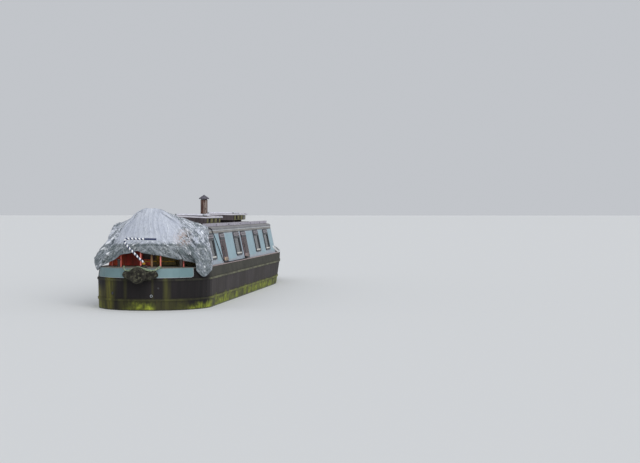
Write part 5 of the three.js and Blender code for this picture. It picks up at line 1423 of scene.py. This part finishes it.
# %% Solar cells
solar_blue, tree, shader = shade("solar_blue", Roughness=0.34, Coat_Weight=0.15, Coat_Roughness=0.25,
                                 Specular_IOR_Level=0.35)
place = axes_of(tree)
lines = []
for axis, pitch, width in ((0, 0.079, 0.485), (1, 0.079, 0.485), (0, 0.0263, 0.478)):
    part = sums(tree, "FRACT", sums(tree, "DIVIDE", place[axis], pitch))
    lines.append(spread(tree, off_from(tree, part, 0.5), width, 0.495))
cell = blend_ink(tree, weather(tree, "Clouds", Scale=8.0), "#1b2338", "#27314b")
cell = blend_ink(tree, times(tree, lines[2], 0.5), cell, "#77808f")
cell = blend_ink(tree, sums(tree, "MAXIMUM", lines[0], lines[1]), cell, "#aeb6c2")
tree.links.new(blend_ink(tree, weather(tree, "Dust", Amount=0.30, Scale=7.0), cell, "#8d9096"),
               shader.inputs["Base Color"])
PANEL_HALF, PANEL_LONG, PANEL_FRAME = 0.280, 0.600, 0.024
PANELS = {"aft": (-3.520, 0.307, 2.166, 0.8), "fore": (-0.250, 0.300, 2.194, 0.3)}
for name, (aft, middle, top, lean) in PANELS.items():
    grow = PANEL_FRAME - 0.001
    glass = rounded_block((-PANEL_HALF + grow, aft + grow, -0.0052),
                          (PANEL_HALF - grow, aft + PANEL_LONG - grow, -0.0035), 0.0004)
    build(f"solar_cells_{name}", *leaned(glass, middle, top, lean), solar_blue, sharp=40, slot="solar_cell")
    corners = [rounded_block((sx * PANEL_HALF - 0.016, y - 0.016, -0.030),
                             (sx * PANEL_HALF + 0.016, y + 0.016, -0.0004), 0.003)
               for sx in (-0.955, 0.955) for y in (aft + 0.0135, aft + PANEL_LONG - 0.0135)]
    build(f"panel_corners_{name}", *leaned(joined(*corners), middle, top, lean), window_alloy,
          sharp=40, slot="solar_cell")
    end = aft + PANEL_LONG
    cable = smooth_route([(middle + 0.10, end - 0.02, top - 0.026), (middle + 0.11, end + 0.03, top - 0.036),
                          (middle + 0.13, end + 0.10, top - 0.0415)], 8)
    build(f"panel_gland_{name}", *tube(cable, lambda share: 0.007 - 0.003 * share), iron_black,
          slot="solar_cell")
print("solar panels", list(PANELS))

# %% [markdown]
# The chimney is a plain pipe with a rolled collar and a rain hat. A dark wire basket fills the
# gap below the hat and keeps birds out. The basket is a ring of thin bars, much lighter to
# make than a real mesh.

# %% Chimney basket and bands
FLUE = Vector((-0.46, 1.75, 0))
BASKET_RADIUS, BAND_RADIUS, HAT_RADIUS = 0.066, 0.0795, 0.1145


def round_flue(a, radius, z):
    return FLUE + Vector((radius * math.cos(a), radius * math.sin(a), z))


def hoop(radius, z, thick, count, sides=8):
    """A level ring of wire round the flue."""
    return tube(turn_round(count, lambda a: round_flue(a, radius, z)), thick, sides, closed=True)


feet = turn_round(28, lambda a: round_flue(a, BASKET_RADIUS, 2.462))
bars = [tube([foot + UP * rise for rise in (0, 0.020, 0.042)], 0.0035, 6) for foot in feet]
bars += [hoop(BASKET_RADIUS, z, 0.0035, 40, 6) for z in (2.474, 2.486)]
bands = [hoop(BAND_RADIUS, z, thick, 64) for z, thick in ((2.466, 0.0045), (2.170, 0.0035), (2.020, 0.0055))]
for label, mesh, finish in (("basket", joined(*bars), iron_black), ("bands", joined(*bands), flue_rust),
                            ("hat_lip", hoop(HAT_RADIUS, 2.4935, 0.0030, 72), cap_steel)):
    build(f"chimney_{label}", *mesh, finish, slot="rusty_steel")
print("chimney trim ready")

# %% [markdown]
# Each rear door carries brass, an edging strip, a rail low on the leaf and a small knob, and
# two raised panels. They ride on their own leaf. On the stern hang a bright ring and two pipe
# ends, a drain and the exhaust. They are closed loops of tube, seated on the hull's surface,
# and a dark disc in each pipe end is painted shade for its inside.

# %% Rear door brass and stern ring
REAR_FACE, KNOB_Z = -4.8360, 1.600
KNOB = ((0, 0.008), (0.012, 0.008), (0.016, 0.017), (0.034, 0.017), (0.040, 0.010))
for name, side in SIDES:
    body = f"rear_door_{name}"
    brasses = [side_block(side, (0.006, REAR_FACE - 0.004, 1.262),
                          (0.020, REAR_FACE + 0.0005, 1.948), 0.0015),
               side_block(side, (0.028, REAR_FACE - 0.007, 1.300), (0.305, REAR_FACE + 0.0005, 1.316), 0.002)]
    knob = [Vector((side * 0.050, REAR_FACE - out, KNOB_Z)) for out, _ in KNOB]
    brasses.append(tube(knob, lambda share: KNOB[round(share * 4)][1], 16))
    build(f"rear_door_brass_{name}", *joined(*brasses), brass, body=body, slot="red_paint", sharp=40)
    panels = [side_block(side, (0.055, REAR_FACE - 0.0055, low), (0.275, REAR_FACE + 0.0005, high), 0.004)
              for low, high in ((1.345, 1.560), (1.640, 1.910))]
    wood = door_wood if side > 0 else door_maroon
    build(f"rear_door_panels_{name}", *joined(*panels), wood, body=body, slot="red_paint", sharp=40)


def on_hull(place, radius, count, out):
    """A ring round a place on the hull, out by a function of the angle, with the place and its normal."""
    seat, away, _, _ = hull_skin.find_nearest(Vector(place))
    level = UP.cross(away).normalized()

    def at(a):
        return seat + away * out(a) + (level * math.cos(a) + UP * math.sin(a)) * radius
    return turn_round(count, at), seat, away


ring, seat, away = on_hull((0.193, -6.2, 0.752), 0.019, 32, lambda a: 0.008 + 0.010 * (1 - math.sin(a)) / 2)
stub = [seat + away * out + UP * 0.018 for out in (-0.002, 0.016)]
stern_ring = joined(tube(ring, 0.0055, closed=True), tube(stub, 0.009, 12))
build("stern_ring", *stern_ring, window_alloy, slot="hull_paint", sharp=40)
for label, place, size in (("drain", (0.337, -6.2, 0.884), 0.016), ("exhaust", (-0.62, -6.0, 0.790), 0.026)):
    rim, seat, away = on_hull(place, size, 32, lambda a: 0.003)
    # Painted shade: a dark disc stands for the shaded inside of the pipe.
    core = [seat - away * 0.001, seat + away * 0.0025]
    build(f"stern_{label}_rim", *tube(rim, 0.0045, 8, closed=True), iron_black, slot="hull_paint")
    build(f"stern_{label}_hole_shade", *tube(core, size * 0.9, 24), dark_trim, slot="hull_paint", sharp=40)
print("brass and ring ready")

# %% [markdown]
# The bow fender is a plaited rope sausage that hangs off the stem by two ropes from the mooring
# stud. It is the same plait as at the stern, along a short straight route, with three turns of
# rope on its nose. The ropes lie on the deck and go over the edge, so each is one short tube.

# %% Bow fender
BOW_FENDER_Z, BOW_FENDER_START = 1.270, 6.116
BOW_PROFILE = ((0.0, 0.094), (0.18, 0.121), (0.44, 0.115), (0.79, 0.078), (0.96, 0.040), (1.0, 0.012))


def bow_radius(share):
    """The fender's radius, read off its profile."""
    for (a, low), (b, high) in zip(BOW_PROFILE, BOW_PROFILE[1:]):
        if share <= b:
            return low + (high - low) * ease(share, a, b)
    return BOW_PROFILE[-1][1]


bow_route = evenly([Vector((0, BOW_FENDER_START, BOW_FENDER_Z)), Vector((0, 6.456, BOW_FENDER_Z))], 0.005)
bow_body = build("bow_fender_plaited", *plaited(bow_route, bow_radius, 16, 0.075, 0.085, 64), fender_rope,
                 slot="rope_fender")
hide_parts("bow_fender")


def nose_ring(reach, y):
    """One wavy turn of rope on the nose."""
    def at(a):
        return Vector((reach * math.cos(a), y + 0.002 * math.sin(7 * a), BOW_FENDER_Z + reach * math.sin(a)))
    return tube(turn_round(40, at), 0.0085, 8, strands=3, lay=0.045, closed=True)


nose = [nose_ring(*ring) for ring in ((0.022, 6.446), (0.050, 6.424), (0.076, 6.394))]
build("bow_fender_nose", *joined(*nose), fender_rope, slot="rope_fender")
SLING_KEYS = ((0.075, 6.235, 1.368), (0.070, 6.170, 1.392), (0.062, 6.118, 1.430), (0.056, 6.098, 1.497),
              (0.050, 6.060, 1.506),
              (0.040, 5.900, 1.482), (0.030, 5.720, 1.455), (0.026, 5.600, 1.438), (0.020, 5.562, 1.446))
slings = [evenly(smooth_route([(side * x, y, z) for x, y, z in SLING_KEYS]), 0.006) for side in (-1, 1)]
STUD_STEPS = 120
slings.append([Vector((0.033 * math.cos(a), 5.560 + 0.033 * math.sin(a), 1.436 + 0.020 * share))
               for share, a in [(step / STUD_STEPS, step / STUD_STEPS * math.tau * 2.5)
                                for step in range(STUD_STEPS + 1)]])
sling_tubes = [tube(sling, 0.0085, strands=3, lay=0.045, depth=0.14) for sling in slings]
build("bow_fender_slings", *joined(*sling_tubes), pale_rope, slot="rope_fender")
print("bow fender", len(bow_body.data.polygons), "faces")

# %% [markdown]
# The front doors are not in the photo, so they follow the type: two maroon leaves with a
# raised panel low, a small round-topped light high, black hinges and a brass handle. A leaf's
# pieces are drawn on its fore face and ride on the leaf, so they open with it. A painted panel
# fills the bulkhead on each side of them.

# %% Front doors
LEAF_FACE, ARCH_STEPS = 3.536, 8
light_glass = glazing("light_glass", "#39464a", 0.12)


def face_loop(side, left, right, low, high, grow, y, corner):
    """A loop with a rounded top on a leaf's fore face. left and right are distances from the middle."""
    a, b, c, d = left - grow, right + grow, low - grow, high + grow
    r = max(corner + grow, 0.004)
    points = [Vector((side * a, y, c)), Vector((side * b, y, c))]
    for cx, start in ((b - r, 0), (a + r, 90)):
        for step in range(ARCH_STEPS + 1):
            angle = math.radians(start + 90 * step / ARCH_STEPS)
            points.append(Vector((side * (cx + r * math.cos(angle)), y, d - r + r * math.sin(angle))))
    return points


def face_slab(side, box, steps, corner, ring=False):
    return lofted([face_loop(side, *box, grow, LEAF_FACE + out, corner) for grow, out in steps], ring)


LOW_BOX, HIGH_BOX = (0.070, 0.265, 0.920, 1.300), (0.085, 0.250, 1.430, 1.760)
PANEL_STEPS = ((0, -0.0005), (0, 0.005), (-0.014, 0.010))
BEAD_STEPS = ((0.012, -0.0005), (0.010, 0.005), (0.004, 0.005), (0.002, -0.0005))
RIM_STEPS = ((0.014, -0.0005), (0.012, 0.009), (0.002, 0.011), (-0.004, 0.004), (-0.004, -0.0005))
PIN = (-0.038, -0.036, 0.036, 0.038)
HANDLE = ((0.0, 1.345), (0.022, 1.347), (0.030, 1.357), (0.030, 1.425), (0.022, 1.436), (0.0, 1.438))
for name, side in SIDES:
    hinges = []
    for z in (0.980, 1.350, 1.720):
        hinges.append(tube([Vector((side * 0.3225, LEAF_FACE + 0.004, z + dz)) for dz in PIN], 0.0065, 12))
        hinges.append(side_block(side, (0.250, LEAF_FACE - 0.0005, z - 0.018),
                                 (0.320, LEAF_FACE + 0.0035, z + 0.018), 0.0012))
    handle = smooth_route([Vector((side * 0.042, LEAF_FACE + out, z)) for out, z in HANDLE], 8)
    for label, mesh, finish in (
            ("panel", face_slab(side, LOW_BOX, PANEL_STEPS, 0.030), door_maroon),
            ("panel_bead", face_slab(side, LOW_BOX, BEAD_STEPS, 0.030, ring=True), cornice_buff),
            ("light_rim", face_slab(side, HIGH_BOX, RIM_STEPS, 0.080, ring=True), old_bronze),
            ("light", face_slab(side, HIGH_BOX, ((-0.003, 0.0005), (-0.003, 0.0040)), 0.080), light_glass),
            ("hinges", joined(*hinges), iron_black),
            ("handle", tube(evenly(handle, 0.004), 0.0055, 12), brass)):
        build(f"front_door_{label}_{name}", *mesh, finish, body=f"front_door_{name}",
              slot="red_paint", sharp=40)
meet = rounded_block((-0.0105, LEAF_FACE - 0.0005, 0.845), (-0.0035, LEAF_FACE + 0.006, 1.842), 0.001)
build("front_door_meeting_strip", *meet, brass, body="front_door_port", slot="red_paint", sharp=40)
BULKHEAD_FACE = 3.5
PANEL_OUTLINE = ((0.385, 0.960), (0.835, 0.960), (0.835, 1.340), (0.752, 1.740), (0.385, 1.780))
for name, side in SIDES:
    skin = lofted([[Vector((side * x, BULKHEAD_FACE + out, z)) for x, z in PANEL_OUTLINE]
                   for out in (0.0002, 0.0012)])
    build(f"front_panel_{name}", *skin, panel_blue, slot="cabin_paint", sharp=40)
print("front doors ready")

# %% [markdown]
# On the fore deck the locker lid gets a lifting ring in a cup and two strap hinges. The sliding
# hatch gets a grab bar at its aft end and a pale bead along its edges. All of it is small
# steelwork on its own body, drawn flat and then tilted with the lid.

# %% Locker lid and hatch
LID_SLOPE = math.atan(48 / 380)


def on_lid(x, back, up):
    """A place on the locker lid, from its hinge backwards and above its top."""
    turned = Matrix.Rotation(LID_SLOPE, 4, "X") @ Vector((x, -back, 0.022 + up))
    return Vector((0, 5.390, 1.416)) + turned


RING_BACK = 0.330
cup = turn_round(32, lambda a: on_lid(0.030 * math.cos(a), RING_BACK + 0.030 * math.sin(a), 0.001))
lift = turn_round(32, lambda a: on_lid(0.021 * math.cos(a), RING_BACK + 0.021 * math.sin(a),
                                       0.006 + 0.003 * math.sin(a)))
lid_ring = joined(*[tube(ring, 0.004, 8, closed=True) for ring in (cup, lift)])
build("lid_ring", *lid_ring, window_alloy, body="locker_lid", slot="deck_paint")
STRAP_LOOPS = ((((-0.022, 0.012), (0.022, 0.012), (0.010, 0.190), (-0.010, 0.190)), 0.0),
               (((-0.021, 0.013), (0.021, 0.013), (0.009, 0.189), (-0.009, 0.189)), 0.005))
straps = []
for x in (-0.130, 0.130):
    straps.append(lofted([[on_lid(x + dx, back, up) for dx, back in outline] for outline, up in STRAP_LOOPS]))
    straps.append(tube([on_lid(x + dx, 0.006, 0.003) for dx in (-0.030, -0.028, 0.028, 0.030)], 0.007, 12))
    straps += [tube([on_lid(x, back, up) for up in (0.004, 0.0075, 0.0085)], 0.006)
               for back in (0.050, 0.110, 0.165)]
build("lid_straps", *joined(*straps), iron_black, body="locker_lid", slot="deck_paint", sharp=40)
GRAB = ((0.110, 2.0195), (0.108, 2.036), (0.095, 2.044))
grab = smooth_route([(x, -4.800, z) for x, z in [*[(-x, z) for x, z in GRAB], *reversed(GRAB)]], 8)
build("hatch_grab_bar", *tube(evenly(grab, 0.006), 0.0065), brass, body="sliding_hatch", slot="roof_paint")
beads = [tube([Vector((x, y, 2.016)) for y in (-4.826, -4.460, -4.104)], 0.004, 8) for x in (-0.343, 0.343)]
build("hatch_edge_beads", *joined(*beads), white_trim, body="sliding_hatch", slot="roof_paint")
print("locker lid and hatch trim ready")

# %% [markdown]
# Without anything inside, one looks in at a window and out at the one opposite. A real cabin
# has a corridor wall, so a panelled plywood wall runs lengthwise beside the doorways. It is a
# board with battens on both faces. It is seen only through the windows and the open doors.

# %% Cabin partition
WALL_X, WALL_THICK = 0.345, 0.018
WALL_ENDS, WALL_FOOT, WALL_TOP = (-4.700, 3.400), 0.155, 1.930
parts = [rounded_block((WALL_X - WALL_THICK / 2, WALL_ENDS[0], WALL_FOOT),
                       (WALL_X + WALL_THICK / 2, WALL_ENDS[1], WALL_TOP))]
for face in (-1, 1):
    near = WALL_X + face * (WALL_THICK / 2 - 0.001)
    low_x, high_x = sorted((near, near + face * 0.008))
    for low, high in ((WALL_FOOT + 0.002, WALL_FOOT + 0.092), (1.010, 1.060),
                      (WALL_TOP - 0.062, WALL_TOP - 0.002)):
        parts.append(rounded_block((low_x, WALL_ENDS[0] + 0.002, low),
                                   (high_x, WALL_ENDS[1] - 0.002, high), 0.002))
    for stile in range(10):
        y = WALL_ENDS[0] + 0.03 + stile * (WALL_ENDS[1] - WALL_ENDS[0] - 0.10) / 9
        parts.append(rounded_block((low_x, y, WALL_FOOT + 0.090),
                                   (high_x, y + 0.040, WALL_TOP - 0.060), 0.002))
build("cabin_partition", *joined(*parts), cabin_ply, slot="plywood", sharp=40)
print("cabin partition", len(parts), "parts")

# %% [markdown]
# Last, both boxes are measured and printed side by side.

# %% Sizes and finish
visual_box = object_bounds()
for label, box in (("cad", cad_box), ("visual", visual_box)):
    print(label, [round(v, 3) for corner in box for v in corner])
